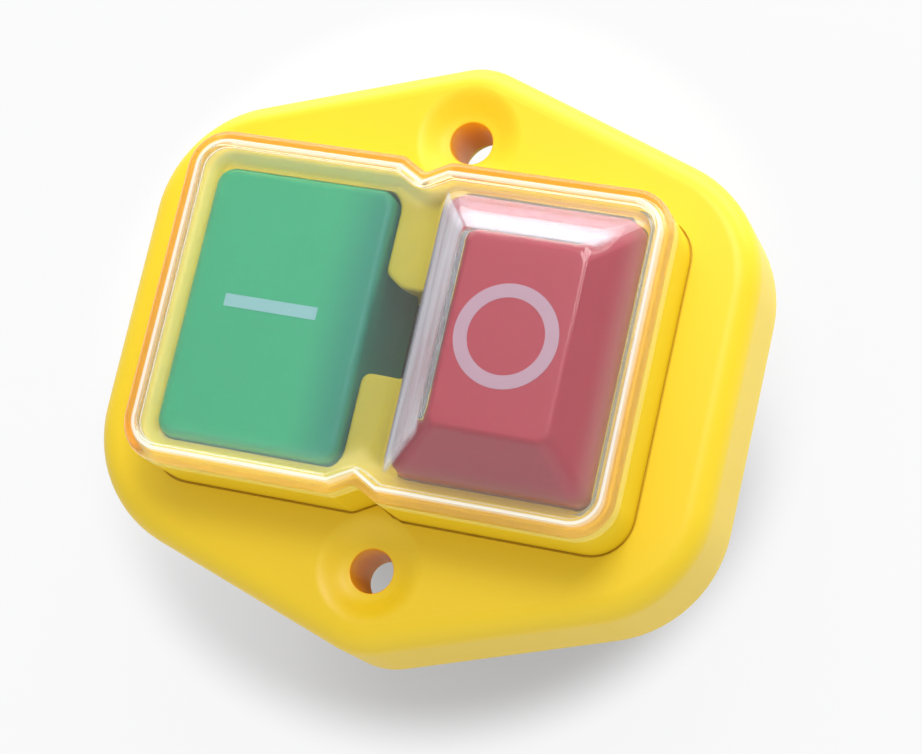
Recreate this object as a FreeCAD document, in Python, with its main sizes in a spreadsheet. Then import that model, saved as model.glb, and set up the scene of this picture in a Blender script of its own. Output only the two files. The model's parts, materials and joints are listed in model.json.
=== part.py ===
# Electromagnetic push button switch with a flanged yellow front, a clear soft cover,
# a green start button, a red stop button and a black rear housing with six blade terminals.
# Frame: origin on the mounting plane midway between the two panel screw holes,
# +Z towards the user, +X from the start button to the stop button, +Y towards the upper hole.
# Millimetres.

import FreeCAD, Part
import math
import os
import re

import Sketcher

# Driving dimensions: alias, value, meaning
SIZES = [
    ("apex_reach", 10.8, "panel screw hole to the sharp apex of the hexagon"),
    ("shoulder_reach", 4.0, "end of the raised box to the side corners of the flange, upward"),
    ("flange_side_r", 16.5, "corner radius at the sides"),
    ("flange_apex_r", 9.0, "corner radius at the two apexes"),
    ("flange_thick", 15.0, "mounting plane to flange face"),
    ("flange_edge_r", 3.2, "soft edge round the flange face"),
    ("flange_wall", 2.4, "side wall of the hollow flange"),
    ("flange_skin", 3.0, "front wall of the hollow flange"),
    ("dish_clearance", 0.4, "room between a panel screw's dish and the raised box"),
    ("screw_clearance", 1.5, "room between a panel screw's boss and the rear housing"),
    ("screw_hole_r", 2.75, "panel screw hole"),
    ("dish_r", 6.2, "mouth of the dish round each panel screw hole"),
    ("dish_floor_r", 3.0, "floor of the dish"),
    ("dish_depth", 1.6, "depth of the dish"),
    ("dish_lip", 0.5, "chamfer round the mouth of the dish"),
    ("boss_r", 7.0, "screw boss behind the dish"),
    ("seal_width", 1.1, "panel seal, across"),
    ("seal_depth", 1.4, "panel seal, deep"),
    ("seal_inset", 0.6, "seal groove, from the outer face of the wall"),
    ("margin_left", 3.1, "start button to the left side of the raised box"),
    ("margin_right", 3.8, "stop button to the right side of the raised box"),
    ("margin_ends", 3.9, "buttons to the upper and lower sides of the raised box"),
    ("divider_width", 7.9, "distance between the two buttons"),
    ("box_corner_r", 5.2, "raised box, corner radius"),
    ("box_wall", 2.2, "raised box, wall"),
    ("notch_half", 3.1, "half width of the V notch above each screw"),
    ("notch_depth", 1.7, "depth of the V notch"),
    ("notch_shift", 0.5, "V notch, offset to the left of the centre"),
    ("notch_tip_r", 1.0, "rounded tip of the V notch"),
    ("skirt_rise", 8.3, "flange face to the ledge that the cover skirt meets"),
    ("bezel_rise", 7.3, "flange face to the bezel round the buttons"),
    ("rim_rise", 10.5, "flange face to the rim that carries the cover"),
    ("bezel_depth", 8.0, "depth of the guide wells"),
    ("rim_wall", 1.3, "thickness of the rim"),
    ("cover_skirt", 1.0, "cover, side wall"),
    ("cover_sheet", 1.0, "cover, flat sheet"),
    ("cover_gap", 0.1, "clearance between the cover skirt and the rim"),
    ("bead_rise", 0.75, "cover, bead above the flat sheet"),
    ("bead_width", 2.1, "cover, bead across"),
    ("bead_edge", 0.8, "cover, chamfer outside the bead"),
    ("dome_side", 1.0, "clear dome over the stop button, foot beyond the button at the sides"),
    ("dome_end", 0.6, "clear dome, foot beyond the button at the ends"),
    ("dome_bevel_x", 5.05, "clear dome, width of the side bevels"),
    ("dome_bevel_y", 5.8, "clear dome, width of the end bevels"),
    ("dome_rise", 5.4, "clear dome, height above the sheet"),
    ("dome_corner", 1.2, "clear dome and stop button, flat across the slanted corners"),
    ("dome_gap", 0.4, "clearance between the stop button and the dome"),
    ("button_half_x", 12.0, "both buttons, half width"),
    ("start_half_y", 17.5, "start button, half height"),
    ("button_corner_r", 2.3, "buttons, corner radius"),
    ("button_edge", 0.5, "start button, chamfer round the face"),
    ("button_wall", 1.5, "buttons, side wall"),
    ("button_roof", 2.0, "buttons, face wall"),
    ("start_proud", 1.45, "start button face above the bezel"),
    ("well_gap", 0.4, "clearance between a button and its well"),
    ("well_corner_r", 2.7, "corner radius of the wells"),
    ("lip_reach", 0.9, "retaining lips at the ends of the buttons"),
    ("lip_half", 4.0, "half length of a retaining lip"),
    ("lip_height", 1.3, "height of a retaining lip"),
    ("lip_rest", 0.3, "gap above a retaining lip at rest"),
    ("divider_window", 11.0, "cut-out in the divider between the wells"),
    ("divider_shift", 0.2, "cut-out, offset above the centre"),
    ("divider_core", 4.2, "hollow in the divider, seen from behind"),
    ("divider_core_rise", 6.0, "height of that hollow"),
    ("divider_round_r", 1.2, "rounded ends of the divider beside the cut-out"),
    ("start_travel", 4.0, "travel of the start button"),
    ("stop_travel", 3.5, "travel of the stop button"),
    ("press_clearance", 2.2, "room between a pressed button and the rear housing"),
    ("carrier_clearance", 0.7, "room between the contact carrier and the housing wall"),
    ("blade_cover", 4.5, "terminal blades to the inner face of the housing wall"),
    ("housing_wall", 2.0, "rear housing, wall"),
    ("housing_corner_r", 3.0, "rear housing, corner radius"),
    ("housing_depth", 35.0, "rear housing, below the mounting plane"),
    ("ear_thick", 3.0, "ears that take the housing screws"),
    ("ear_r", 4.0, "ear radius"),
    ("ear_reach", 4.6, "housing side to the axis of a housing screw"),
    ("ear_inset", 6.5, "housing end to the axis of a housing screw"),
    ("ear_clearance", 1.3, "room between an ear and the side wall of the flange"),
    ("tower_r", 3.2, "screw tower in the flange"),
    ("tower_skin", 1.0, "wall left above the pilot hole"),
    ("pilot_r", 1.25, "pilot hole for a housing screw"),
    ("case_screw_r", 1.5, "housing screw, shank"),
    ("case_screw_gap", 0.2, "clearance round the shank in the ear"),
    ("case_head_r", 2.8, "housing screw, head"),
    ("case_head_high", 2.0, "housing screw, head height"),
    ("frame_thick", 2.5, "guide frame plate"),
    ("frame_gap", 0.2, "clearance round the guide frame"),
    ("pillar_side", 3.5, "corner pillars in the housing"),
    ("frame_screw_r", 1.0, "guide frame screw, shank"),
    ("frame_head_r", 1.6, "guide frame screw, head"),
    ("frame_head_high", 1.2, "guide frame screw, head height"),
    ("frame_screw_bite", 5.0, "guide frame screw, depth in the pillar"),
    ("stem_r", 3.5, "round stem of the moving carriers"),
    ("stem_gap", 0.3, "clearance of a stem in its guide"),
    ("guide_r", 5.2, "guide collar on the frame"),
    ("guide_drop", 1.5, "guide collar height above the frame plate"),
    ("socket_r", 5.0, "socket under a button that takes the stem"),
    ("socket_clearance", 1.0, "room between a pressed socket and the guide collar"),
    ("socket_grip", 3.0, "depth of the stem in the socket"),
    ("socket_gap", 0.05, "clearance of the stem in the socket"),
    ("spring_seat_r", 7.4, "disc on the socket that the return spring meets"),
    ("spring_seat_drop", 3.8, "bezel to the underside of that disc"),
    ("spring_seat_thick", 1.6, "thickness of that disc"),
    ("return_spring_r", 6.2, "return spring, mean radius"),
    ("return_wire_r", 0.45, "return spring, wire radius"),
    ("return_turns", 6.0, "return spring, turns"),
    ("carrier_wall", 1.6, "contact carrier, wall beside a window"),
    ("carrier_half_y", 4.0, "contact carrier, half depth"),
    ("shoulder_gap", 0.3, "gap between a carrier shoulder and the frame at rest"),
    ("pole_gap", 2.9, "gap between the terminals of two poles"),
    ("carrier_sill", 4.0, "contact carrier below a window"),
    ("carrier_roof", 1.0, "mounting plane to the top of a carrier window"),
    ("bridge_play", 0.4, "clearance beside a moving contact strip"),
    ("bridge_end", 2.0, "moving contact strip beyond the contact axis"),
    ("window_sill", 9.0, "carrier window sill below the mounting plane"),
    ("bridge_width", 4.8, "moving contact strip, across"),
    ("bridge_thick", 0.8, "moving contact strip, thickness"),
    ("contact_r", 1.75, "contact button radius"),
    ("contact_high", 1.0, "contact button height"),
    ("contact_y", 10.0, "contact buttons, distance from the centre line"),
    ("contact_overtravel", 1.0, "carrier travel left once the contacts meet"),
    ("touch_gap", 0.05, "gap left between faces that meet"),
    ("contact_spring_r", 1.7, "contact spring, mean radius"),
    ("contact_wire_r", 0.25, "contact spring, wire radius"),
    ("contact_turns", 5.0, "contact spring, turns"),
    ("blade_width", 6.3, "terminal blade width"),
    ("blade_thick", 0.8, "terminal blade thickness"),
    ("blade_reach", 8.0, "terminal blade below the housing"),
    ("blade_back", 3.0, "contact axis to the blade"),
    ("blade_tip", 1.2, "chamfer at the blade tip"),
    ("blade_hole_r", 0.9, "locking hole in a blade"),
    ("rib_width", 3.0, "ribs that back the terminals"),
    ("armature_thick", 3.0, "armature plate"),
    ("armature_pin_r", 1.6, "pin that holds the armature"),
    ("core_base", 3.0, "magnet core, base"),
    ("core_side", 2.7, "magnet core, outer legs"),
    ("core_mid", 5.0, "magnet core, middle leg"),
    ("bobbin_gap", 0.2, "clearance between core and bobbin"),
    ("bobbin_wall", 0.8, "bobbin wall"),
    ("bobbin_half_y", 8.5, "bobbin flange, half depth"),
    ("winding_inset", 0.4, "winding inside the bobbin flange"),
    ("stop_spring_room", 6.0, "face of the fixed stop contacts to the sill of the plunger window"),
    ("stop_sill_thick", 2.0, "stop plunger below its window"),
    ("stop_side", 2.0, "stop plunger, wall beside its window"),
    ("stop_half", 4.0, "stop plunger, half depth"),
    ("stop_fixed_drop", 5.0, "face of the fixed stop contacts below the mounting plane"),
    ("stop_lift", 0.5, "free travel of the stop plunger"),
]

# Dimensions that follow from the driving ones: alias, formula, meaning
DERIVED = [
    ("box_half_x", "(margin_left + margin_right + divider_width) / 2 + 2 * button_half_x", "raised box, half width"),
    ("box_half_y", "start_half_y + margin_ends", "raised box, half height"),
    ("start_x", "box_half_x - margin_left - button_half_x", "start button axis, left of the centre"),
    ("stop_x", "box_half_x - margin_right - button_half_x", "stop button axis, right of the centre"),
    ("dome_half_x", "button_half_x + dome_side", "clear dome, half width at its foot"),
    ("dome_half_y", "start_half_y + dome_end", "clear dome, half height at its foot"),
    ("button_foot", "flange_thick + bezel_rise - bezel_depth - lip_rest - lip_height",
     "lower edge of both buttons above the mounting plane"),
    ("spring_seat_rise", "flange_thick + bezel_rise - spring_seat_drop",
     "underside of the spring disc above the mounting plane"),
    ("socket_foot", "frame_thick + guide_drop + max(start_travel; stop_travel) + socket_clearance",
     "lower end of the socket above the mounting plane"),
    ("window_width", "bridge_width + 2 * bridge_play", "carrier window, across"),
    ("window_high", "window_sill - carrier_roof", "carrier window height"),
    ("pole_pitch", "blade_width + pole_gap", "distance between the two moving contacts"),
    ("carrier_half_x", "pole_pitch / 2 + window_width / 2 + carrier_wall", "contact carrier, half width"),
    ("carrier_foot", "window_sill + carrier_sill", "lower end of the carrier below the mounting plane"),
    ("bobbin_half_x", "carrier_half_x - core_side - bobbin_gap", "bobbin flange, half width"),
    ("bridge_half", "contact_y + bridge_end", "moving contact strip, half length"),
    ("blade_y", "contact_y + blade_back", "terminal blades, distance from the centre line"),
    ("stop_sill", "stop_fixed_drop + stop_spring_room", "sill of the stop plunger window"),
    ("stop_foot", "stop_sill + stop_sill_thick", "lower end of the stop plunger"),
    ("housing_half_x", "start_x + carrier_half_x + carrier_clearance + housing_wall", "rear housing, half width"),
    ("housing_half_y", "blade_y + blade_cover + housing_wall", "rear housing, half height"),
    ("housing_rise", "button_foot - max(start_travel; stop_travel) - press_clearance",
     "rear housing, above the mounting plane"),
    ("ear_x", "housing_half_x + ear_reach", "housing screw, distance from the centre"),
    ("ear_y", "housing_half_y - ear_inset", "housing screw, distance from the centre line"),
    ("screw_pitch", "2 * max(box_half_y + dish_r + dish_clearance; housing_half_y + boss_r + screw_clearance)",
     "distance between the two panel screw holes"),
    ("flange_half_w", "ear_x + ear_r + ear_clearance + flange_wall", "half width of the flange"),
    ("flange_apex", "screw_pitch / 2 + apex_reach", "height of the sharp apex of the hexagon above its centre"),
    ("flange_shoulder", "box_half_y + shoulder_reach", "height of the side corners above the centre"),
]

doc = FreeCAD.newDocument("push_button_switch")
SHEET_OF_ALIAS = {}


def cell(text, home=""):
    """Turn a formula of aliases into an expression that reads the sheets, seen from one of them or outside."""
    def named(found):
        owner = SHEET_OF_ALIAS.get(found.group(0), home)
        return found.group(0) if owner == home else owner + "." + found.group(0)
    return re.sub(r"[a-z][a-z_]*[a-z]", named, text)


def fill_sheet(label, rows, as_formulas):
    """Make a sheet with a meaning, a number or a formula, and an alias in each row."""
    sheet = doc.addObject("Spreadsheet::Sheet", label)
    sheet.Label = label
    for row, (alias, content, meaning) in enumerate(rows, start=1):
        sheet.set("A%d" % row, meaning)
        sheet.set("B%d" % row, "=" + cell(content, label) if as_formulas else str(content))
        sheet.setAlias("B%d" % row, alias)
        SHEET_OF_ALIAS[alias] = label
    doc.recompute()


fill_sheet("Sizes", SIZES, False)
fill_sheet("Derived", DERIVED, True)

# Levels above the mounting plane, as formulas of the sizes
FACE = "flange_thick"
BEZEL = "(flange_thick + bezel_rise)"
LEDGE = "(flange_thick + skirt_rise)"
RIM = "(flange_thick + rim_rise)"
SHEET_TOP = "(flange_thick + rim_rise + cover_sheet)"
CREST = "(flange_thick + rim_rise + cover_sheet + bead_rise)"
DOME_TOP = "(flange_thick + rim_rise + cover_sheet + dome_rise)"
HOUSING_FLOOR = "(housing_wall - housing_depth)"
SHOULDER = "(-shoulder_gap)"
CARRIER_FOOT = "(-carrier_foot)"
ARMATURE_FOOT = "(-carrier_foot - armature_thick)"
POLE_FACE = "(-carrier_foot - armature_thick - start_travel - touch_gap)"
FIXED_CONTACT = "(-window_sill - contact_high - start_travel + contact_overtravel - touch_gap)"
STOP_FIXED = "(-stop_fixed_drop)"
STOP_MOVING = "(-stop_fixed_drop - touch_gap)"
STOP_STRIP = "(-stop_fixed_drop - touch_gap - contact_high - bridge_thick)"


# Radius that an arc is drawn with before its own formula sets it
SEED_RADIUS = 0.1
# Flats round a spring's wire, and sections along each turn
WIRE_SIDES = 5
STEPS_PER_TURN = 8
# Flats of the small round details that repeat behind the panel
SMALL_SIDES = 12


def number(alias):
    """Read one size from its sheet."""
    return float(doc.getObject(SHEET_OF_ALIAS[alias]).get(alias))


# Helpers for bodies made of sketches and features

def new_body(label):
    """Start a body whose label names its file."""
    body = doc.addObject("PartDesign::Body", label)
    body.Label = label
    return body


def role_plane(body, role):
    """Find one of the origin planes of a body."""
    return [item for item in body.Origin.OriginFeatures if item.Role == role][0]


def new_sketch(body, name, offset, role="XY_Plane"):
    """Place a sketch on an origin plane, moved along its normal by a formula."""
    sketch = body.newObject("Sketcher::SketchObject", body.Name + "_" + name)
    sketch.AttachmentSupport = (role_plane(body, role), [""])
    sketch.MapMode = "FlatFace"
    sketch.setExpression("AttachmentOffset.Base.z", cell(offset))
    return sketch


def pin_point(sketch, edge, vertex, across, up):
    """Fix one vertex of a sketch at two formulas."""
    spot = sketch.getPoint(edge, vertex)
    side = sketch.addConstraint(Sketcher.Constraint("DistanceX", -1, 1, edge, vertex, spot.x))
    sketch.setExpression("Constraints[%d]" % side, cell(across))
    height = sketch.addConstraint(Sketcher.Constraint("DistanceY", -1, 1, edge, vertex, spot.y))
    sketch.setExpression("Constraints[%d]" % height, cell(up))


def draw_outline(sketch, corners):
    """Draw a closed outline through corners given as formulas: across, up and, if rounded, the radius."""
    count = len(corners)
    first = sketch.GeometryCount
    ring = [FreeCAD.Vector(math.cos(2 * math.pi * i / count), math.sin(2 * math.pi * i / count), 0)
            for i in range(count)]
    for i in range(count):
        sketch.addGeometry(Part.LineSegment(ring[i], ring[(i + 1) % count]), False)
    for i in range(count):
        sketch.addConstraint(Sketcher.Constraint("Coincident", first + i, 2, first + (i + 1) % count, 1))
    for i, corner in enumerate(corners):
        pin_point(sketch, first + i, 1, corner[0], corner[1])
    doc.recompute()
    for i, corner in enumerate(corners):
        if len(corner) > 2:
            round_corner(sketch, first + i, corner[2])


def round_corner(sketch, edge, radius):
    """Replace the start of an edge with a tangent arc whose radius is a formula."""
    arc = sketch.GeometryCount
    sketch.fillet(edge, 1, SEED_RADIUS, True, True)
    size = sketch.addConstraint(Sketcher.Constraint("Radius", arc, SEED_RADIUS))
    sketch.setExpression("Constraints[%d]" % size, cell(radius))


def draw_circle(sketch, across, up, radius):
    """Draw a circle whose centre and radius are formulas."""
    edge = sketch.addGeometry(Part.Circle(FreeCAD.Vector(0.5, 0.5, 0), FreeCAD.Vector(0, 0, 1), 1.0), False)
    pin_point(sketch, edge, 3, across, up)
    size = sketch.addConstraint(Sketcher.Constraint("Radius", edge, 1.0))
    sketch.setExpression("Constraints[%d]" % size, cell(radius))


def pad(body, name, base, height, outlines, circles=(), downward=False):
    """Extrude outlines and circles from a level."""
    sketch = new_sketch(body, name + "_sketch", base)
    for corners in outlines:
        draw_outline(sketch, corners)
    for circle in circles:
        draw_circle(sketch, *circle)
    feature = body.newObject("PartDesign::Pad", body.Name + "_" + name)
    feature.Profile = sketch
    feature.Reversed = downward
    feature.setExpression("Length", cell(height))
    doc.recompute()
    return feature


def pocket(body, name, base, depth, outlines, circles=(), upward=False):
    """Cut outlines and circles from a level, downward unless told otherwise."""
    sketch = new_sketch(body, name + "_sketch", base)
    for corners in outlines:
        draw_outline(sketch, corners)
    for circle in circles:
        draw_circle(sketch, *circle)
    before = body.Shape.Volume
    feature = body.newObject("PartDesign::Pocket", body.Name + "_" + name)
    feature.Profile = sketch
    feature.Reversed = upward
    feature.setExpression("Length", cell(depth))
    doc.recompute()
    if body.Shape.Volume > before - 1e-6:
        raise RuntimeError("pocket cuts nothing: " + feature.Name)
    return feature


def frustum(body, name, kind, across, low, high, foot, top):
    """Add or cut a flat-sided frustum whose foot and top are half widths and half heights."""
    feature = body.newObject("PartDesign::" + kind, body.Name + "_" + name)
    half_widths = {"Xmin": "-(%s)" % foot[0], "Xmax": foot[0], "Zmin": "-(%s)" % foot[1], "Zmax": foot[1],
                   "X2min": "-(%s)" % top[0], "X2max": top[0], "Z2min": "-(%s)" % top[1], "Z2max": top[1]}
    for side, formula in half_widths.items():
        feature.setExpression(side, cell(formula))
    feature.Ymin = 0
    feature.setExpression("Ymax", cell("(%s) - (%s)" % (high, low)))
    feature.Placement.Rotation = FreeCAD.Rotation(FreeCAD.Vector(1, 0, 0), 90)
    feature.setExpression("Placement.Base.x", cell(across))
    feature.setExpression("Placement.Base.z", cell(low))
    doc.recompute()
    return feature


def round_edges(body, name, radius, wanted, kind="Fillet"):
    """Fillet or chamfer the edges of the current tip that a test picks."""
    base = body.Tip
    picked = ["Edge%d" % (i + 1) for i, edge in enumerate(base.Shape.Edges) if wanted(edge)]
    if not picked:
        raise RuntimeError("no edge for " + body.Name + "_" + name)
    feature = body.newObject("PartDesign::" + kind, body.Name + "_" + name)
    feature.Base = (base, picked)
    feature.setExpression("Radius" if kind == "Fillet" else "Size", cell(radius))
    doc.recompute()
    return feature


def level_test(level, inside=None):
    """Pick edges that lie flat at one level and pass a test on their middle."""
    def wanted(edge):
        box = edge.BoundBox
        if abs(box.ZMin - level) > 0.01 or abs(box.ZMax - level) > 0.01:
            return False
        return inside is None or inside(box)
    return wanted


# Outlines

def many_sided(across, up, radius):
    """Outline of a small round detail that repeats, with few flats."""
    turns = [2 * math.pi * side / SMALL_SIDES for side in range(SMALL_SIDES)]
    return [("%s + (%s) * (%.6f)" % (across, radius, math.cos(turn)),
             "%s + (%s) * (%.6f)" % (up, radius, math.sin(turn))) for turn in turns]


def rounded(corners, radius):
    """Give every corner of an outline the same radius."""
    return [(corner[0], corner[1], radius) for corner in corners]


def rectangle(half_x, half_y, across="0", up="0"):
    """Four corners round a centre."""
    return span("%s - (%s)" % (across, half_x), "%s + (%s)" % (across, half_x),
                "%s - (%s)" % (up, half_y), "%s + (%s)" % (up, half_y))


def span(left, right, low, high):
    """Four corners from limits."""
    return [(left, low), (right, low), (right, high), (left, high)]


def hexagon(inset):
    """Flange outline with its rounded corners, moved inward by a formula."""
    slope = "((flange_apex - flange_shoulder) / flange_half_w)"
    apex = "(flange_apex - (%s) * sqrt(1 + %s * %s))" % (inset, slope, slope)
    side = "(flange_half_w - (%s))" % inset
    shoulder = "(%s - %s * %s)" % (apex, side, slope)
    apex_r = "flange_apex_r - (%s)" % inset
    side_r = "flange_side_r - (%s)" % inset
    return [("0", "-" + apex, apex_r), (side, "-" + shoulder, side_r), (side, shoulder, side_r),
            ("0", apex, apex_r), ("-" + side, shoulder, side_r), ("-" + side, "-" + shoulder, side_r)]


def two_lobed(inset):
    """Outline of the raised box with its V notches, moved inward by a formula."""
    half_x = "(box_half_x - (%s))" % inset
    half_y = "(box_half_y - (%s))" % inset
    corner = "box_corner_r - (%s)" % inset
    left = "(-notch_shift - notch_half)"
    right = "(notch_half - notch_shift)"
    tip = "(%s - notch_depth)" % half_y
    return [("-" + half_x, "-" + half_y, corner), (left, "-" + half_y), ("-notch_shift", "-" + tip, "notch_tip_r"),
            (right, "-" + half_y), (half_x, "-" + half_y, corner), (half_x, half_y, corner), (right, half_y),
            ("-notch_shift", tip, "notch_tip_r"), (left, half_y), ("-" + half_x, half_y, corner)]


def button_outline(half_y, extra, axis, radius):
    """Outline of a button or its well, grown by a formula."""
    return rounded(rectangle("button_half_x + (%s)" % extra, "%s + (%s)" % (half_y, extra), axis), radius)


# Front flange: hollow hexagon with the raised box, guide wells, screw bosses and towers

PANEL_HOLES = [("0", "screw_pitch / 2"), ("0", "-screw_pitch / 2")]
CASE_HOLES = [(a + "ear_x", b + "ear_y") for a in ("", "-") for b in ("", "-")]
PILLARS = [(a + "(housing_half_x - housing_wall - pillar_side / 2)",
            b + "(housing_half_y - housing_wall - pillar_side / 2)") for a in ("", "-") for b in ("", "-")]
DIVIDER_X = "((stop_x - start_x) / 2)"
RIM_INNER = "cover_skirt + cover_gap + rim_wall"


def make_front_flange():
    """Model the yellow moulding."""
    body = new_body("front_flange")
    thick = number("flange_thick")
    pad(body, "plate", "0", "flange_thick", [hexagon("0")])
    round_edges(body, "face_edge", "flange_edge_r", level_test(thick))
    pocket(body, "cavity", "0", "flange_thick - flange_skin", [hexagon("flange_wall")], upward=True)
    pad(body, "box", FACE, "skirt_rise", [two_lobed("0")])
    pad(body, "rim", LEDGE, "rim_rise - skirt_rise", [two_lobed("cover_skirt + cover_gap")])
    pocket(body, "recess", RIM, "rim_rise - bezel_rise", [two_lobed(RIM_INNER)])
    pocket(body, "box_cavity", "0", "flange_thick + bezel_rise - bezel_depth",
           [rectangle("box_half_x - box_wall", "box_half_y - box_wall")], upward=True)
    start_well = button_outline("start_half_y", "well_gap", "-start_x", "well_corner_r")
    stop_well = button_outline("start_half_y", "well_gap", "stop_x", "well_corner_r")
    pocket(body, "wells", BEZEL, "bezel_depth", [start_well, stop_well])
    half_core = "divider_core / 2"
    pocket(body, "divider_core", "flange_thick + bezel_rise - bezel_depth", "divider_core_rise",
           [rectangle(half_core, "start_half_y", DIVIDER_X)], upward=True)
    low = "divider_shift - divider_window / 2"
    high = "divider_shift + divider_window / 2"
    pocket(body, "divider_window", BEZEL, "bezel_depth",
           [span("-start_x + button_half_x", "stop_x - button_half_x", low, high)])
    bezel = number("flange_thick") + number("bezel_rise")
    half_window = number("divider_window") / 2
    shift = number("divider_shift")
    round_edges(body, "divider_ends", "divider_round_r",
                lambda edge: abs(edge.BoundBox.ZMax - bezel) < 0.01 and edge.BoundBox.ZLength > 1.0
                and edge.BoundBox.XLength < 0.01
                and abs(abs(edge.BoundBox.YMin - shift) - half_window) < 0.01)
    pad(body, "bosses", "0", "flange_thick - flange_skin", [], [(x, y, "boss_r") for x, y in PANEL_HOLES])
    pad(body, "towers", "housing_rise", "flange_thick - flange_skin - housing_rise",
        [many_sided(x, y, "tower_r") for x, y in CASE_HOLES])
    pocket(body, "pilots", "housing_rise", "flange_thick - housing_rise - tower_skin",
           [many_sided(x, y, "pilot_r") for x, y in CASE_HOLES], upward=True)
    pocket(body, "screw_holes", FACE, "flange_thick", [], [(x, y, "screw_hole_r") for x, y in PANEL_HOLES])
    for index, (x, y) in enumerate(PANEL_HOLES):
        dish = body.newObject("PartDesign::SubtractiveCone", "front_flange_dish_%d" % index)
        dish.setExpression("Radius1", cell("dish_floor_r"))
        dish.setExpression("Radius2", cell("dish_r"))
        dish.setExpression("Height", cell("dish_depth"))
        dish.setExpression("Placement.Base.y", cell(y))
        dish.setExpression("Placement.Base.z", cell("flange_thick - dish_depth"))
        doc.recompute()
    dish_r = number("dish_r")
    round_edges(body, "dish_lips", "dish_lip",
                level_test(thick, lambda box: abs(box.XMax - dish_r) < 0.01 and abs(box.XMin + dish_r) < 0.01),
                "Chamfer")
    pocket(body, "seal_groove", "0", "seal_depth",
           [hexagon("seal_inset"), hexagon("seal_inset + seal_width")], upward=True)
    return body


# Clear soft cover with the dome over the stop button

def dome_size(inset, rise):
    """Half width and half height of the dome at a height above the sheet, moved inward by a formula."""
    half_x = "(dome_half_x - dome_bevel_x * (%s) / dome_rise)" % rise
    half_y = "(dome_half_y - dome_bevel_y * (%s) / dome_rise)" % rise
    cut_x = "(%s) * sqrt(dome_rise * dome_rise + dome_bevel_x * dome_bevel_x) / dome_rise" % inset
    cut_y = "(%s) * sqrt(dome_rise * dome_rise + dome_bevel_y * dome_bevel_y) / dome_rise" % inset
    return "(%s - %s)" % (half_x, cut_x), "(%s - %s)" % (half_y, cut_y)


def corner_test(low, high):
    """Pick the corner edges that run between two levels."""
    def wanted(edge):
        box = edge.BoundBox
        return abs(box.ZMin - low) < 0.01 and abs(box.ZMax - high) < 0.01 and len(edge.Vertexes) == 2
    return wanted


def make_clear_cover():
    """Model the one-piece soft cover: skirt, bead, sheet and dome."""
    body = new_body("clear_cover")
    pad(body, "block", LEDGE, "rim_rise - skirt_rise + cover_sheet + bead_rise", [two_lobed("0")])
    crest = number("flange_thick") + number("rim_rise") + number("cover_sheet") + number("bead_rise")
    round_edges(body, "bead_edge", "bead_edge", level_test(crest), "Chamfer")
    pocket(body, "tray", CREST, "bead_rise", [two_lobed("bead_width")])
    pocket(body, "inside", LEDGE, "rim_rise - skirt_rise", [two_lobed("cover_skirt")], upward=True)
    frustum(body, "dome", "AdditiveWedge", "stop_x", SHEET_TOP, DOME_TOP, dome_size("0", "0"),
            dome_size("0", "dome_rise"))
    sheet_top = number("flange_thick") + number("rim_rise") + number("cover_sheet")
    round_edges(body, "dome_corners", "dome_corner", corner_test(sheet_top, sheet_top + number("dome_rise")),
                "Chamfer")
    frustum(body, "dome_inside", "SubtractiveWedge", "stop_x", RIM, DOME_TOP + " - cover_sheet",
            dome_size("cover_sheet", "-cover_sheet"), dome_size("cover_sheet", "dome_rise - cover_sheet"))
    return body


# Buttons: hollow caps with a socket for the stem and a disc for the return spring

def finish_button(body, axis, half_y, roof):
    """Hollow a solid button and add its socket, spring disc, ribs and retaining lips."""
    pocket(body, "hollow", "button_foot", "%s - button_foot" % roof,
           [rounded(rectangle("button_half_x - button_wall", "%s - button_wall" % half_y, axis),
                    "button_corner_r - button_wall / 2")], upward=True)
    pad(body, "socket", "socket_foot", "%s - socket_foot" % roof, [many_sided(axis, "0", "socket_r")])
    pad(body, "spring_disc", "spring_seat_rise", "spring_seat_thick", [many_sided(axis, "0", "spring_seat_r")])
    half_rib = "button_wall / 2"
    disc_top = "(spring_seat_rise + spring_seat_thick)"
    ribs = [rectangle("button_half_x - button_wall / 2", half_rib, axis),
            rectangle(half_rib, "%s - button_wall / 2" % half_y, axis)]
    for index, rib in enumerate(ribs):
        pad(body, "rib_%d" % index, disc_top, "%s - %s" % (roof, disc_top), [rib])
    pocket(body, "socket_bore", "socket_foot", "socket_grip + touch_gap", [],
           [(axis, "0", "stem_r + socket_gap")], upward=True)
    for index, (low, high) in enumerate((("-(%s) - lip_reach" % half_y, "-(%s) + button_wall / 2" % half_y),
                                         ("%s - button_wall / 2" % half_y, "%s + lip_reach" % half_y))):
        pad(body, "lip_%d" % index, "button_foot", "lip_height",
            [span("%s - lip_half" % axis, "%s + lip_half" % axis, low, high)])


def make_start_button():
    """Model the flat green button."""
    body = new_body("start_button")
    top = "(flange_thick + bezel_rise + start_proud)"
    pad(body, "block", "button_foot", "%s - button_foot" % top,
        [button_outline("start_half_y", "0", "-start_x", "button_corner_r")])
    face = number("flange_thick") + number("bezel_rise") + number("start_proud")
    round_edges(body, "face_edge", "button_edge", level_test(face), "Chamfer")
    finish_button(body, "-start_x", "start_half_y", "(%s - button_roof)" % top)
    return body


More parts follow.
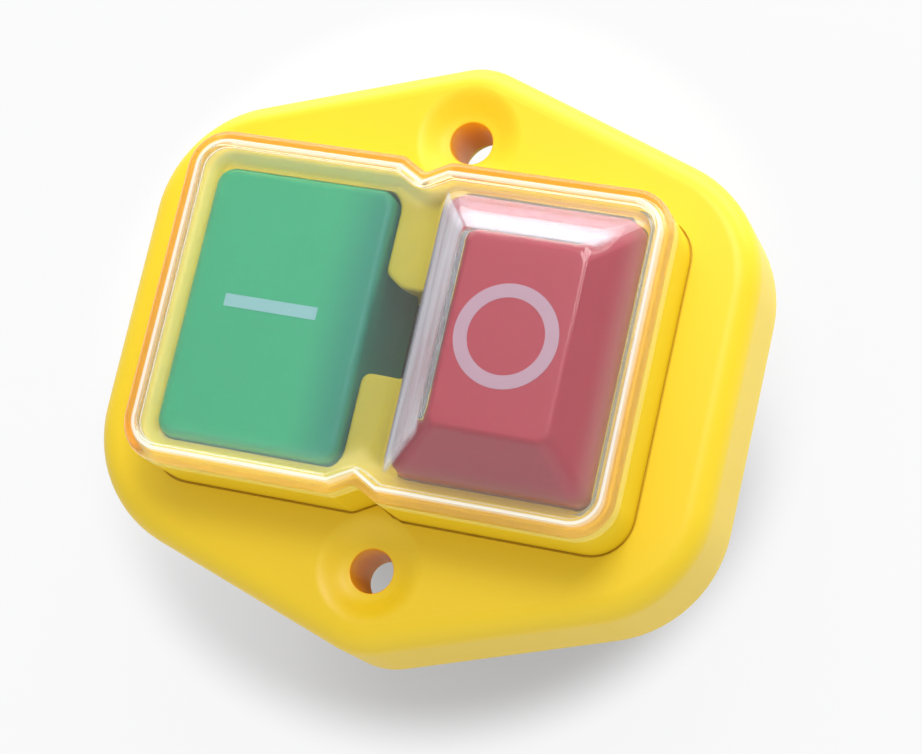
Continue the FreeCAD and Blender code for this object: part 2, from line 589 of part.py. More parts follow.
def make_stop_button():
    """Model the bevelled red button that fills the dome."""
    body = new_body("stop_button")
    clearance = "cover_sheet + dome_gap"
    foot = dome_size(clearance, "-cover_sheet")
    top = dome_size(clearance, "dome_rise - cover_sheet - dome_gap")
    pad(body, "block", "button_foot", "%s - button_foot" % RIM, [rectangle(foot[0], foot[1], "stop_x")])
    frustum(body, "taper", "AdditiveWedge", "stop_x", RIM, DOME_TOP + " - cover_sheet - dome_gap", foot, top)
    rim = number("flange_thick") + number("rim_rise")
    face = rim + number("dome_rise") - number("dome_gap")
    upright = corner_test(number("button_foot"), rim)
    slanted = corner_test(rim, face)
    round_edges(body, "corners", "dome_corner", lambda edge: upright(edge) or slanted(edge), "Chamfer")
    finish_button(body, "stop_x", foot[1], "(%s - button_roof)" % RIM)
    return body


# Rear housing: open box with ears, pillars, terminal ribs and blade slots

def terminal_places():
    """Across position, side of the centre line and name of each terminal."""
    left = "-start_x - pole_pitch / 2"
    right = "-start_x + pole_pitch / 2"
    return [("line_terminal_1", left, -1), ("load_terminal_1", left, 1),
            ("line_terminal_2", right, -1), ("load_terminal_2", right, 1),
            ("stop_terminal_1", "stop_x", -1), ("stop_terminal_2", "stop_x", 1)]


def blade_limits(side):
    """Inner and outer face of the blades on one side of the centre line."""
    inner = "(blade_y - blade_thick / 2)"
    outer = "(blade_y + blade_thick / 2)"
    if side > 0:
        return inner, outer
    return "-" + outer, "-" + inner


def make_rear_housing():
    """Model the black moulding behind the panel."""
    body = new_body("rear_housing")
    outer = rounded(rectangle("housing_half_x", "housing_half_y"), "housing_corner_r")
    inner = rounded(rectangle("housing_half_x - housing_wall", "housing_half_y - housing_wall"),
                    "housing_corner_r - housing_wall")
    pad(body, "block", "-housing_depth", "housing_depth + housing_rise", [outer])
    for index, (x, y) in enumerate(CASE_HOLES):
        toward = "-" if x.startswith("-") else ""
        edge = "%s(housing_half_x - housing_wall / 2)" % toward
        limits = (x, edge) if toward else (edge, x)
        pad(body, "ear_%d" % index, "housing_rise - ear_thick", "ear_thick",
            [span(limits[0], limits[1], "%s - ear_r" % y, "%s + ear_r" % y)])
        pad(body, "ear_round_%d" % index, "housing_rise - ear_thick", "ear_thick", [many_sided(x, y, "ear_r")])
    pocket(body, "inside", "housing_rise", "housing_rise + housing_depth - housing_wall", [inner])
    pocket(body, "ear_holes", "housing_rise", "ear_thick",
           [many_sided(x, y, "case_screw_r + case_screw_gap") for x, y in CASE_HOLES])
    for index, (x, y) in enumerate(PILLARS):
        pad(body, "pillar_%d" % index, HOUSING_FLOOR, "housing_depth - housing_wall",
            [rectangle("pillar_side / 2", "pillar_side / 2", x, y)])
    pocket(body, "pillar_bores", "0", "frame_screw_bite",
           [many_sided(x, y, "frame_screw_r") for x, y in PILLARS])
    for name, across, side in terminal_places():
        low, high = blade_limits(side)
        wall = "housing_half_y - housing_wall / 2"
        rib = span("%s - rib_width / 2" % across, "%s + rib_width / 2" % across,
                   high if side > 0 else "-(%s)" % wall, wall if side > 0 else low)
        height = "housing_depth - housing_wall - carrier_foot - armature_thick"
        pad(body, "rib_" + name, HOUSING_FLOOR, height, [rib])
        pocket(body, "slot_" + name, HOUSING_FLOOR, "housing_wall",
               [span("%s - blade_width / 2" % across, "%s + blade_width / 2" % across, low, high)])
    return body


# Guide frame: plate with two collars that lies on the pillars

def make_guide_frame():
    """Model the plate that guides both stems."""
    body = new_body("guide_frame")
    plate = rounded(rectangle("housing_half_x - housing_wall - frame_gap",
                              "housing_half_y - housing_wall - frame_gap"), "housing_corner_r - housing_wall")
    pad(body, "plate", "0", "frame_thick", [plate])
    axes = ["-start_x", "stop_x"]
    pad(body, "collars", "frame_thick", "guide_drop", [], [(axis, "0", "guide_r") for axis in axes])
    pocket(body, "bores", "frame_thick + guide_drop", "frame_thick + guide_drop", [],
           [(axis, "0", "stem_r + stem_gap") for axis in axes])
    pocket(body, "screw_bores", "frame_thick", "frame_thick",
           [many_sided(x, y, "frame_screw_r + touch_gap") for x, y in PILLARS])
    return body


# Contact carrier and stop plunger: stems with windows for the moving contacts

def make_contact_carrier():
    """Model the sliding carrier of the two moving contacts and the armature."""
    body = new_body("contact_carrier")
    pad(body, "block", CARRIER_FOOT, "carrier_foot - shoulder_gap",
        [rectangle("carrier_half_x", "carrier_half_y", "-start_x")])
    pad(body, "stem", SHOULDER, "shoulder_gap + socket_foot + socket_grip", [], [("-start_x", "0", "stem_r")])
    pad(body, "pin", CARRIER_FOOT, "armature_thick", [], [("-start_x", "0", "armature_pin_r")], downward=True)
    for index, sign in enumerate(("-", "+")):
        axis = "-start_x %s pole_pitch / 2" % sign
        pocket(body, "window_%d" % index, "-window_sill + window_high", "window_high",
               [rectangle("window_width / 2", "carrier_half_y", axis)])
    return body


def make_stop_plunger():
    """Model the sliding plunger of the stop contact."""
    body = new_body("stop_plunger")
    half_x = "window_width / 2 + stop_side"
    pad(body, "block", "-stop_foot", "stop_foot - shoulder_gap", [rectangle(half_x, "stop_half", "stop_x")])
    pad(body, "stem", SHOULDER, "shoulder_gap + socket_foot + socket_grip", [], [("stop_x", "0", "stem_r")])
    pocket(body, "window", STOP_MOVING + " - contact_high + stop_lift",
           "stop_sill - stop_fixed_drop - touch_gap - contact_high + stop_lift",
           [rectangle("window_width / 2", "stop_half", "stop_x")])
    return body


# Small pieces from primitives and booleans

def block(name, limits):
    """Make a box from six formulas: left, right, near, far, low, high."""
    left, right, near, far, low, high = limits
    piece = doc.addObject("Part::Box", name)
    piece.setExpression("Length", cell("(%s) - (%s)" % (right, left)))
    piece.setExpression("Width", cell("(%s) - (%s)" % (far, near)))
    piece.setExpression("Height", cell("(%s) - (%s)" % (high, low)))
    piece.setExpression("Placement.Base.x", cell(left))
    piece.setExpression("Placement.Base.y", cell(near))
    piece.setExpression("Placement.Base.z", cell(low))
    return piece


def rod(name, across, up, low, height, radius):
    """Make a small upright round bar from formulas, with few flats."""
    piece = doc.addObject("Part::Prism", name)
    piece.Polygon = SMALL_SIDES
    piece.setExpression("Circumradius", cell(radius))
    piece.setExpression("Height", cell(height))
    piece.setExpression("Placement.Base.x", cell(across))
    piece.setExpression("Placement.Base.y", cell(up))
    piece.setExpression("Placement.Base.z", cell(low))
    return piece


def fuse(name, pieces):
    """Join pieces into one."""
    joined = doc.addObject("Part::MultiFuse", name)
    joined.Shapes = pieces
    joined.Refine = True
    joined.Label = name
    return joined


def cut(name, base, tool):
    """Cut one piece from another."""
    result = doc.addObject("Part::Cut", name)
    result.Base = base
    result.Tool = tool
    result.Label = name
    return result


def group(name, pieces):
    """Keep separate solids together in one node."""
    together = doc.addObject("Part::Compound", name)
    together.Links = pieces
    together.Label = name
    return together


def make_armature():
    """Model the steel plate that the magnet holds."""
    plate = block("armature_plate", ("-start_x - carrier_half_x", "-start_x + carrier_half_x",
                                     "-carrier_half_y", "carrier_half_y", ARMATURE_FOOT, CARRIER_FOOT))
    bore = doc.addObject("Part::Cylinder", "armature_bore")
    bore.setExpression("Radius", cell("armature_pin_r + touch_gap"))
    bore.setExpression("Height", cell("armature_thick"))
    bore.setExpression("Placement.Base.x", cell("-start_x"))
    bore.setExpression("Placement.Base.z", cell(ARMATURE_FOOT))
    return cut("armature", plate, bore)


def make_magnet_core():
    """Model the three-legged laminated core."""
    near, far = "-carrier_half_y", "carrier_half_y"
    left = "-start_x - carrier_half_x"
    right = "-start_x + carrier_half_x"
    base = block("core_base_bar", (left, right, near, far, HOUSING_FLOOR, HOUSING_FLOOR + " + core_base"))
    legs = [block("core_left_leg", (left, left + " + core_side", near, far, HOUSING_FLOOR, POLE_FACE)),
            block("core_mid_leg", ("-start_x - core_mid / 2", "-start_x + core_mid / 2", near, far,
                                   HOUSING_FLOOR, POLE_FACE)),
            block("core_right_leg", (right + " - core_side", right, near, far, HOUSING_FLOOR, POLE_FACE))]
    return fuse("magnet_core", [base] + legs)


def centred_block(name, half_x, half_y, low, high):
    """Make a box centred on the start button axis."""
    return block(name, ("-start_x - (%s)" % half_x, "-start_x + (%s)" % half_x,
                        "-(%s)" % half_y, half_y, low, high))


def make_coil():
    """Model the bobbin on the middle leg and the winding on the bobbin."""
    low = "(%s + core_base + bobbin_gap)" % HOUSING_FLOOR
    high = "(%s - bobbin_wall)" % POLE_FACE
    bore_x = "core_mid / 2 + bobbin_gap"
    bore_y = "carrier_half_y + bobbin_gap"
    tube_x = bore_x + " + bobbin_wall"
    tube_y = bore_y + " + bobbin_wall"
    parts = [centred_block("bobbin_foot", "bobbin_half_x", "bobbin_half_y", low, low + " + bobbin_wall"),
             centred_block("bobbin_tube", tube_x, tube_y, low, high),
             centred_block("bobbin_head", "bobbin_half_x", "bobbin_half_y", high + " - bobbin_wall", high)]
    bore = centred_block("bobbin_bore", bore_x, bore_y, low, high)
    bobbin = cut("coil_bobbin", fuse("bobbin_outside", parts), bore)
    body = centred_block("winding_outside", "bobbin_half_x - winding_inset", "bobbin_half_y - winding_inset",
                         low + " + bobbin_wall", high + " - bobbin_wall")
    hollow = centred_block("winding_hollow", tube_x, tube_y, low, high)
    return [bobbin, cut("coil_winding", body, hollow)]


def make_bridge(name, axis, strip_low, up_facing):
    """Model a moving contact strip with its two contact buttons."""
    strip = block(name + "_strip", (axis + " - bridge_width / 2", axis + " + bridge_width / 2",
                                    "-bridge_half", "bridge_half", strip_low, strip_low + " + bridge_thick"))
    button_low = strip_low + (" + bridge_thick" if up_facing else " - contact_high")
    buttons = [rod("%s_contact_%d" % (name, index), axis, up, button_low, "contact_high", "contact_r")
               for index, up in enumerate(("-contact_y", "contact_y"))]
    return fuse(name, [strip] + buttons)


def blade_tip(name, left, low):
    """Make the tapered tip of a blade, which narrows downwards."""
    tip = doc.addObject("Part::Wedge", name)
    tip.Xmin = 0
    tip.Ymin = 0
    tip.Zmin = 0
    tip.Z2min = 0
    tip.setExpression("Xmax", cell("blade_width"))
    tip.setExpression("X2min", cell("blade_tip"))
    tip.setExpression("X2max", cell("blade_width - blade_tip"))
    tip.setExpression("Ymax", cell("blade_tip"))
    tip.setExpression("Zmax", cell("blade_thick"))
    tip.setExpression("Z2max", cell("blade_thick"))
    tip.Placement.Rotation = FreeCAD.Rotation(FreeCAD.Vector(1, 0, 0), -90)
    tip.setExpression("Placement.Base.x", cell(left))
    tip.setExpression("Placement.Base.y", cell(low))
    tip.setExpression("Placement.Base.z", cell("-housing_depth - blade_reach + blade_tip"))
    return tip


def make_terminal(name, axis, side, is_stop):
    """Model a terminal: blade, upright strip, tab and fixed contact."""
    low, high = blade_limits(side)
    left = axis + " - blade_width / 2"
    right = axis + " + blade_width / 2"
    if is_stop:
        tab_low = STOP_FIXED + " + contact_high"
        contact_low = STOP_FIXED
    else:
        tab_low = FIXED_CONTACT + " - contact_high - blade_thick"
        contact_low = FIXED_CONTACT + " - contact_high"
    tab_high = tab_low + " + blade_thick"
    upright = block(name + "_upright", (left, right, low, high, "-housing_depth - blade_reach + blade_tip", tab_high))
    inner = "contact_y - contact_r"
    near, far = (inner, high) if side > 0 else (low, "-(%s)" % inner)
    tab = block(name + "_tab", (left, right, near, far, tab_low, tab_high))
    contact = rod(name + "_contact", axis, "contact_y" if side > 0 else "-contact_y",
                  contact_low, "contact_high", "contact_r")
    hole = doc.addObject("Part::Prism", name + "_hole")
    hole.Polygon = SMALL_SIDES
    hole.setExpression("Circumradius", cell("blade_hole_r"))
    hole.setExpression("Height", cell("blade_thick"))
    hole.Placement.Rotation = FreeCAD.Rotation(FreeCAD.Vector(1, 0, 0), -90)
    hole.setExpression("Placement.Base.x", cell(axis))
    hole.setExpression("Placement.Base.y", cell(low))
    hole.setExpression("Placement.Base.z", cell("-housing_depth - blade_reach / 2"))
    tip = blade_tip(name + "_tip", left, low)
    return cut(name, fuse(name + "_solid", [upright, tab, contact, tip]), hole)


def make_case_screws():
    """Model the four screws that hold the housing to the flange."""
    screws = []
    for index, (x, y) in enumerate(CASE_HOLES):
        head = rod("case_head_%d" % index, x, y, "housing_rise - ear_thick - case_head_high",
                   "case_head_high", "case_head_r")
        shank = rod("case_shank_%d" % index, x, y, "housing_rise - ear_thick - case_head_high",
                    "case_head_high + ear_thick", "case_screw_r")
        core = rod("case_core_%d" % index, x, y, "housing_rise",
                   "flange_thick - flange_skin - housing_rise", "pilot_r")
        screws.append(fuse("case_screw_%d" % index, [head, shank, core]))
    return group("housing_screws", screws)


def make_frame_screws():
    """Model the four screws that hold the guide frame to the pillars."""
    screws = []
    for index, (x, y) in enumerate(PILLARS):
        head = rod("frame_head_%d" % index, x, y, "frame_thick", "frame_head_high", "frame_head_r")
        shank = rod("frame_shank_%d" % index, x, y, "-frame_screw_bite", "frame_screw_bite + frame_thick",
                    "frame_screw_r")
        screws.append(fuse("frame_screw_%d" % index, [head, shank]))
    return group("frame_screws", screws)


def make_panel_seal():
    """Model the soft seal in the groove of the flange."""
    body = new_body("panel_seal")
    pad(body, "ring", "0", "seal_depth - touch_gap",
        [hexagon("seal_inset + touch_gap"), hexagon("seal_inset + seal_width - touch_gap")])
    return body


def wire_section(radius, wire, rise, turn):
    """Cross-section of a coil spring's wire at a turn angle, square to the wire."""
    out = FreeCAD.Vector(math.cos(turn), math.sin(turn), 0)
    lead = math.atan2(rise, 2 * math.pi * radius)
    along = FreeCAD.Vector(-math.sin(turn) * math.cos(lead), math.cos(turn) * math.cos(lead), math.sin(lead))
    up = along.cross(out)
    centre = out * radius + FreeCAD.Vector(0, 0, rise * turn / (2 * math.pi))
    corners = []
    for side in range(WIRE_SIDES + 1):
        angle = 2 * math.pi * side / WIRE_SIDES
        corners.append(centre + out * (wire * math.cos(angle)) + up * (wire * math.sin(angle)))
    return Part.makePolygon(corners)


def make_spring(name, across, low, high, radius, wire, turns):
    """Wind a coil spring between two levels as a ruled loft through its wire sections."""
    rise = (high - low - 2 * wire) / turns
    steps = int(round(turns * STEPS_PER_TURN))
    sections = [wire_section(radius, wire, rise, 2 * math.pi * turns * step / steps) for step in range(steps + 1)]
    spring = doc.addObject("Part::Feature", name)
    spring.Label = name
    spring.Shape = Part.makeLoft(sections, True, True)
    spring.Placement = FreeCAD.Placement(FreeCAD.Vector(across, 0, low + wire), FreeCAD.Rotation())
    return spring


def make_springs():
    """Make the two return springs and the three contact springs."""
    gap = number("touch_gap")
    seat = number("frame_thick") + gap
    disc = number("spring_seat_rise") - gap
    coil = (number("return_spring_r"), number("return_wire_r"), number("return_turns"))
    small = (number("contact_spring_r"), number("contact_wire_r"), number("contact_turns"))
    start_x = -number("start_x")
    stop_x = number("stop_x")
    springs = [make_spring("start_return_spring", start_x, seat, disc, *coil),
               make_spring("stop_return_spring", stop_x, seat, disc, *coil)]
    sill = -number("window_sill")
    low = sill + number("bridge_thick") + gap
    high = sill + number("window_high") - gap
    half_pitch = number("pole_pitch") / 2
    springs.append(make_spring("contact_spring_1", start_x - half_pitch, low, high, *small))
    springs.append(make_spring("contact_spring_2", start_x + half_pitch, low, high, *small))
    strip = -number("stop_fixed_drop") - gap - number("contact_high") - number("bridge_thick")
    springs.append(make_spring("stop_contact_spring", stop_x, gap - number("stop_sill"), strip - gap, *small))
    return springs


# Build every sub-part, check it and write it

nodes = [make_front_flange(), make_clear_cover(), make_start_button(), make_stop_button(),
         make_rear_housing(), make_guide_frame(), make_contact_carrier(), make_stop_plunger(),
         make_armature(), make_magnet_core()]
nodes += make_coil()
nodes.append(make_bridge("contact_bridge_1", "-start_x - pole_pitch / 2", "-window_sill", False))
nodes.append(make_bridge("contact_bridge_2", "-start_x + pole_pitch / 2", "-window_sill", False))
nodes.append(make_bridge("stop_bridge", "stop_x", STOP_STRIP, True))
for terminal, place, side in terminal_places():
    nodes.append(make_terminal(terminal, place, side, terminal.startswith("stop")))
nodes += [make_case_screws(), make_frame_screws(), make_panel_seal()]
nodes += make_springs()
doc.recompute()

failed = [item.Name for item in doc.Objects if "Invalid" in item.State or "Error" in item.State]
if failed:
    raise RuntimeError("failed objects: " + ", ".join(failed))
for node in nodes:
    if node.Shape.isNull() or not node.Shape.isValid():
        raise RuntimeError("bad shape: " + node.Label)

os.makedirs("parts", exist_ok=True)
for node in nodes:
    node.Shape.exportStep("parts/%s.step" % node.Label)
    print("%-22s solids %d  volume %9.1f mm3" % (node.Label, len(node.Shape.Solids), node.Shape.Volume))
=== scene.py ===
"""Looks of a panel-mounted start and stop switch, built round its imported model.

The yellow front moulding, the clear soft cover, both buttons with their marks and four springs are modelled
here with bmesh operators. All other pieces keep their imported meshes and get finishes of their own. Sizes are
in millimetres until a piece is finished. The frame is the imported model's: +Z towards the user, +X from the
start button to the stop button, +Y towards the upper screw hole.
"""

from __future__ import annotations

import json
import logging
import math
from dataclasses import dataclass, field
from enum import Enum
from typing import Any, Callable, Sequence

import bmesh
import bpy
from mathutils import Matrix, Vector

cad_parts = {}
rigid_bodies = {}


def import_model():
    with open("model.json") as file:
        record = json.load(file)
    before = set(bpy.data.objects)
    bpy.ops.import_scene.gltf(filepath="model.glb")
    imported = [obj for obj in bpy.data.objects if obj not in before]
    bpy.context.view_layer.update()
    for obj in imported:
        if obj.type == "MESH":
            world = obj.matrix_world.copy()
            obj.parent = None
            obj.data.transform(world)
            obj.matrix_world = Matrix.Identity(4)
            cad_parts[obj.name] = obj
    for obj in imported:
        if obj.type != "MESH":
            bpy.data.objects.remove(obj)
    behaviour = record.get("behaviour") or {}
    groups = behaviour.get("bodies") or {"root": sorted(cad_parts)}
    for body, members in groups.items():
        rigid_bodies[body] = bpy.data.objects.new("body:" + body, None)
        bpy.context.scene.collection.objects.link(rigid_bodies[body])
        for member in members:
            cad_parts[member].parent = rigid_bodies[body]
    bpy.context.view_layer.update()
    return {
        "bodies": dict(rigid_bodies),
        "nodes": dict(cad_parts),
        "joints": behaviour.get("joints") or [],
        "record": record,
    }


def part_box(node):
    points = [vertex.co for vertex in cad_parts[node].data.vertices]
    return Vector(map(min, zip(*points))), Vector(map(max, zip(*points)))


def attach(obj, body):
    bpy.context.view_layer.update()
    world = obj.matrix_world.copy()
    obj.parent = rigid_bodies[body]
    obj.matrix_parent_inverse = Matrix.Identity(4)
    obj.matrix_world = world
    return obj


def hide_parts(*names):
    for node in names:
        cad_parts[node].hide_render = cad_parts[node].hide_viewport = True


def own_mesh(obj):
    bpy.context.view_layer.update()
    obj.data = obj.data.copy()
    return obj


LOG = logging.getLogger("switch")
MILLIMETRE = 0.001
Colour = tuple[float, float, float]
Fade = tuple[float, float]
Span = tuple[float, float, float, float]
Ring = list[bmesh.types.BMEdge]


class Body(str, Enum):
    """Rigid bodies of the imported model."""

    HOUSING = "housing"
    START = "start"
    STOP = "stop"


class Slot(str, Enum):
    """Material slots of the record."""

    YELLOW = "yellow_plastic"
    CLEAR = "clear_plastic"
    GREEN = "green_plastic"
    RED = "red_plastic"
    SPRING = "spring_steel"


# Shader maths


class Socket:
    """An output socket of a material, with operators that add Math nodes."""

    def __init__(self, graph: "Graph", socket: bpy.types.NodeSocket) -> None:
        """Keep the socket and the graph it belongs to."""
        self.graph = graph
        self.socket = socket

    def _with(self, operation: str, *values: Any) -> "Socket":
        """Add a Math node."""
        return self.graph.node("ShaderNodeMath", {"operation": operation}, dict(enumerate(values)))

    def __add__(self, other: Any) -> "Socket":
        """Sum."""
        return self._with("ADD", self, other)

    def __radd__(self, other: Any) -> "Socket":
        """Sum with a number first."""
        return self._with("ADD", other, self)

    def __sub__(self, other: Any) -> "Socket":
        """Difference."""
        return self._with("SUBTRACT", self, other)

    def __rsub__(self, other: Any) -> "Socket":
        """Difference with a number first."""
        return self._with("SUBTRACT", other, self)

    def __mul__(self, other: Any) -> "Socket":
        """Product."""
        return self._with("MULTIPLY", self, other)

    def __rmul__(self, other: Any) -> "Socket":
        """Product with a number first."""
        return self._with("MULTIPLY", other, self)

    def at_least(self, other: Any) -> "Socket":
        """The larger of two values."""
        return self._with("MAXIMUM", self, other)

    def at_most(self, other: Any) -> "Socket":
        """The smaller of two values."""
        return self._with("MINIMUM", self, other)

    def size(self) -> "Socket":
        """The value without its sign."""
        return self._with("ABSOLUTE", self)

    def root(self) -> "Socket":
        """The square root."""
        return self._with("SQRT", self)

    def rise(self, low: float, high: float) -> "Socket":
        """Go smoothly from 0 at the low limit to 1 at the high one."""
        sockets = {"Value": self, "From Min": low, "From Max": high, "To Min": 0.0, "To Max": 1.0}
        return self.graph.node("ShaderNodeMapRange", {"interpolation_type": "SMOOTHSTEP"}, sockets)

    def fall(self, low: float, high: float) -> "Socket":
        """Go smoothly from 1 at the low limit to 0 at the high one."""
        return 1.0 - self.rise(low, high)

    def between(self, start: float, full: float, fading: float, end: float) -> "Socket":
        """Go from 0 to 1 and back to 0."""
        return self.rise(start, full) * self.fall(fading, end)


class Graph:
    """The node tree of one material."""

    def __init__(self, name: str) -> None:
        """Start an empty material.

        Args:
            name: name of the material.
        """
        self.material = bpy.data.materials.new(name)
        self.material.use_nodes = True
        self.tree = self.material.node_tree
        self.tree.nodes.clear()

    def node(self, kind: str, settings: dict[str, Any] | None = None,
             sockets: dict[Any, Any] | None = None, out: int | str = 0) -> Socket:
        """Add a node.

        Args:
            kind: Blender's node type.
            settings: attributes that are set first.
            sockets: values or links by input name or number.
            out: which output to return.

        Returns:
            The chosen output.
        """
        node = self.tree.nodes.new(kind)
        for key, value in (settings or {}).items():
            setattr(node, key, value)
        for key, value in (sockets or {}).items():
            if isinstance(value, Socket):
                self.tree.links.new(value.socket, node.inputs[key])
            else:
                node.inputs[key].default_value = value
        return Socket(self, node.outputs[out]) if len(node.outputs) else None

    def place(self, scale: tuple[float, float, float] = (1.0, 1.0, 1.0)) -> Socket:
        """Object coordinates, stretched along the axes."""
        coordinates = self.node("ShaderNodeTexCoord", out="Object")
        return self.node("ShaderNodeMapping", sockets={"Vector": coordinates, "Scale": scale})

    def along(self, axis: str) -> Socket:
        """Millimetres along one axis of the object."""
        vector = self.node("ShaderNodeTexCoord", out="Object")
        return self.node("ShaderNodeSeparateXYZ", sockets={"Vector": vector}, out=axis) * (1.0 / MILLIMETRE)

    def noise(self, scale: float, detail: float = 2.0, place: Socket | None = None) -> Socket:
        """Noise between 0 and 1 over the object."""
        sockets = {"Vector": place or self.place(), "Scale": scale, "Detail": detail}
        return self.node("ShaderNodeTexNoise", sockets=sockets)

    def blend(self, factor: Any, first: Any, second: Any) -> Socket:
        """Mix two colours.

        Args:
            factor: share of the second colour.
            first: colour, plain or linked.
            second: colour, plain or linked.

        Returns:
            The mixed colour.
        """
        def rgba(value: Any) -> Any:
            """Give a plain colour its alpha."""
            return value if isinstance(value, Socket) else (*value, 1.0)
        sockets = {0: factor, 6: rgba(first), 7: rgba(second)}
        return self.node("ShaderNodeMix", {"data_type": "RGBA"}, sockets, 2)

    def bump(self, height: Any, depth: float, strength: float = 1.0) -> Socket:
        """Turn heights between 0 and 1 into a normal; depth is in millimetres."""
        return self.node("ShaderNodeBump", sockets={"Height": height, "Distance": depth * MILLIMETRE,
                                                    "Strength": strength})

    def finish(self, shader: Socket) -> bpy.types.Material:
        """Connect the surface and hand over the material."""
        self.node("ShaderNodeOutputMaterial", sockets={"Surface": shader})
        return self.material


# Finishes


@dataclass(frozen=True)
class MouldedPlastic:
    """Injection-moulded plastic with a fine grain and slight flow marks."""

    name: str
    colour: Colour
    flow_colour: Colour
    roughness: float = 0.4
    roughness_spread: float = 0.08
    grain_per_metre: float = 5000.0
    grain_depth: float = 0.006
    flow_per_metre: float = 38.0

    def build(self) -> bpy.types.Material:
        """Make the material.

        Returns:
            The material.
        """
        graph = Graph(self.name)
        flow = graph.noise(self.flow_per_metre, 3.0)
        grain = graph.noise(self.grain_per_metre, 2.0)
        sockets = {
            "Base Color": self.shade(graph, graph.blend(flow, self.colour, self.flow_colour)),
            "Roughness": (flow - 0.5) * (2 * self.roughness_spread) + self.roughness,
            "Normal": graph.bump(grain, self.grain_depth),
            "IOR": 1.5,
        }
        return graph.finish(graph.node("ShaderNodeBsdfPrincipled", sockets=sockets))

    def shade(self, graph: Graph, colour: Socket) -> Socket:
        """Colour that changes over the piece; plain unless a finish says otherwise."""
        return colour


@dataclass(frozen=True)
class FrontPlastic(MouldedPlastic):
    """Yellow front plastic, with painted shade: darker towards the lower end, and a deeper orange in the screw
    holes that stands in for shade and light glowing through the plastic.
    """

    # Painted shade: the lower-end colour stands in for the raised box's shade, the hole colour for shade and
    # glow in the screw holes.
    low_shade_colour: Colour = (0.83, 0.575, 0.010)
    hole_shade_colour: Colour = (0.92, 0.46, 0.004)
    low_shade_fade: Fade = (-34.0, 12.0)
    hole_shade_soft: float = 0.3

    def shade(self, graph: Graph, colour: Socket) -> Socket:
        """Paint shade on the lower end and in the screw holes.

        Args:
            graph: nodes of the material.
            colour: the plain colour.

        Returns:
            The colour over the piece.
        """
        across = graph.along("X")
        along = graph.along("Y")
        # Painted shade, growing towards the lower end.
        low = along.fall(*self.low_shade_fade)
        # Painted shade and glow in the screw holes.
        past = along.size() - LAYOUT.screw_y
        reach = (across * across + past * past).root()
        hole = reach.fall(LAYOUT.screw_hole, LAYOUT.screw_hole + self.hole_shade_soft)
        return graph.blend(hole, graph.blend(low, colour, self.low_shade_colour), self.hole_shade_colour)


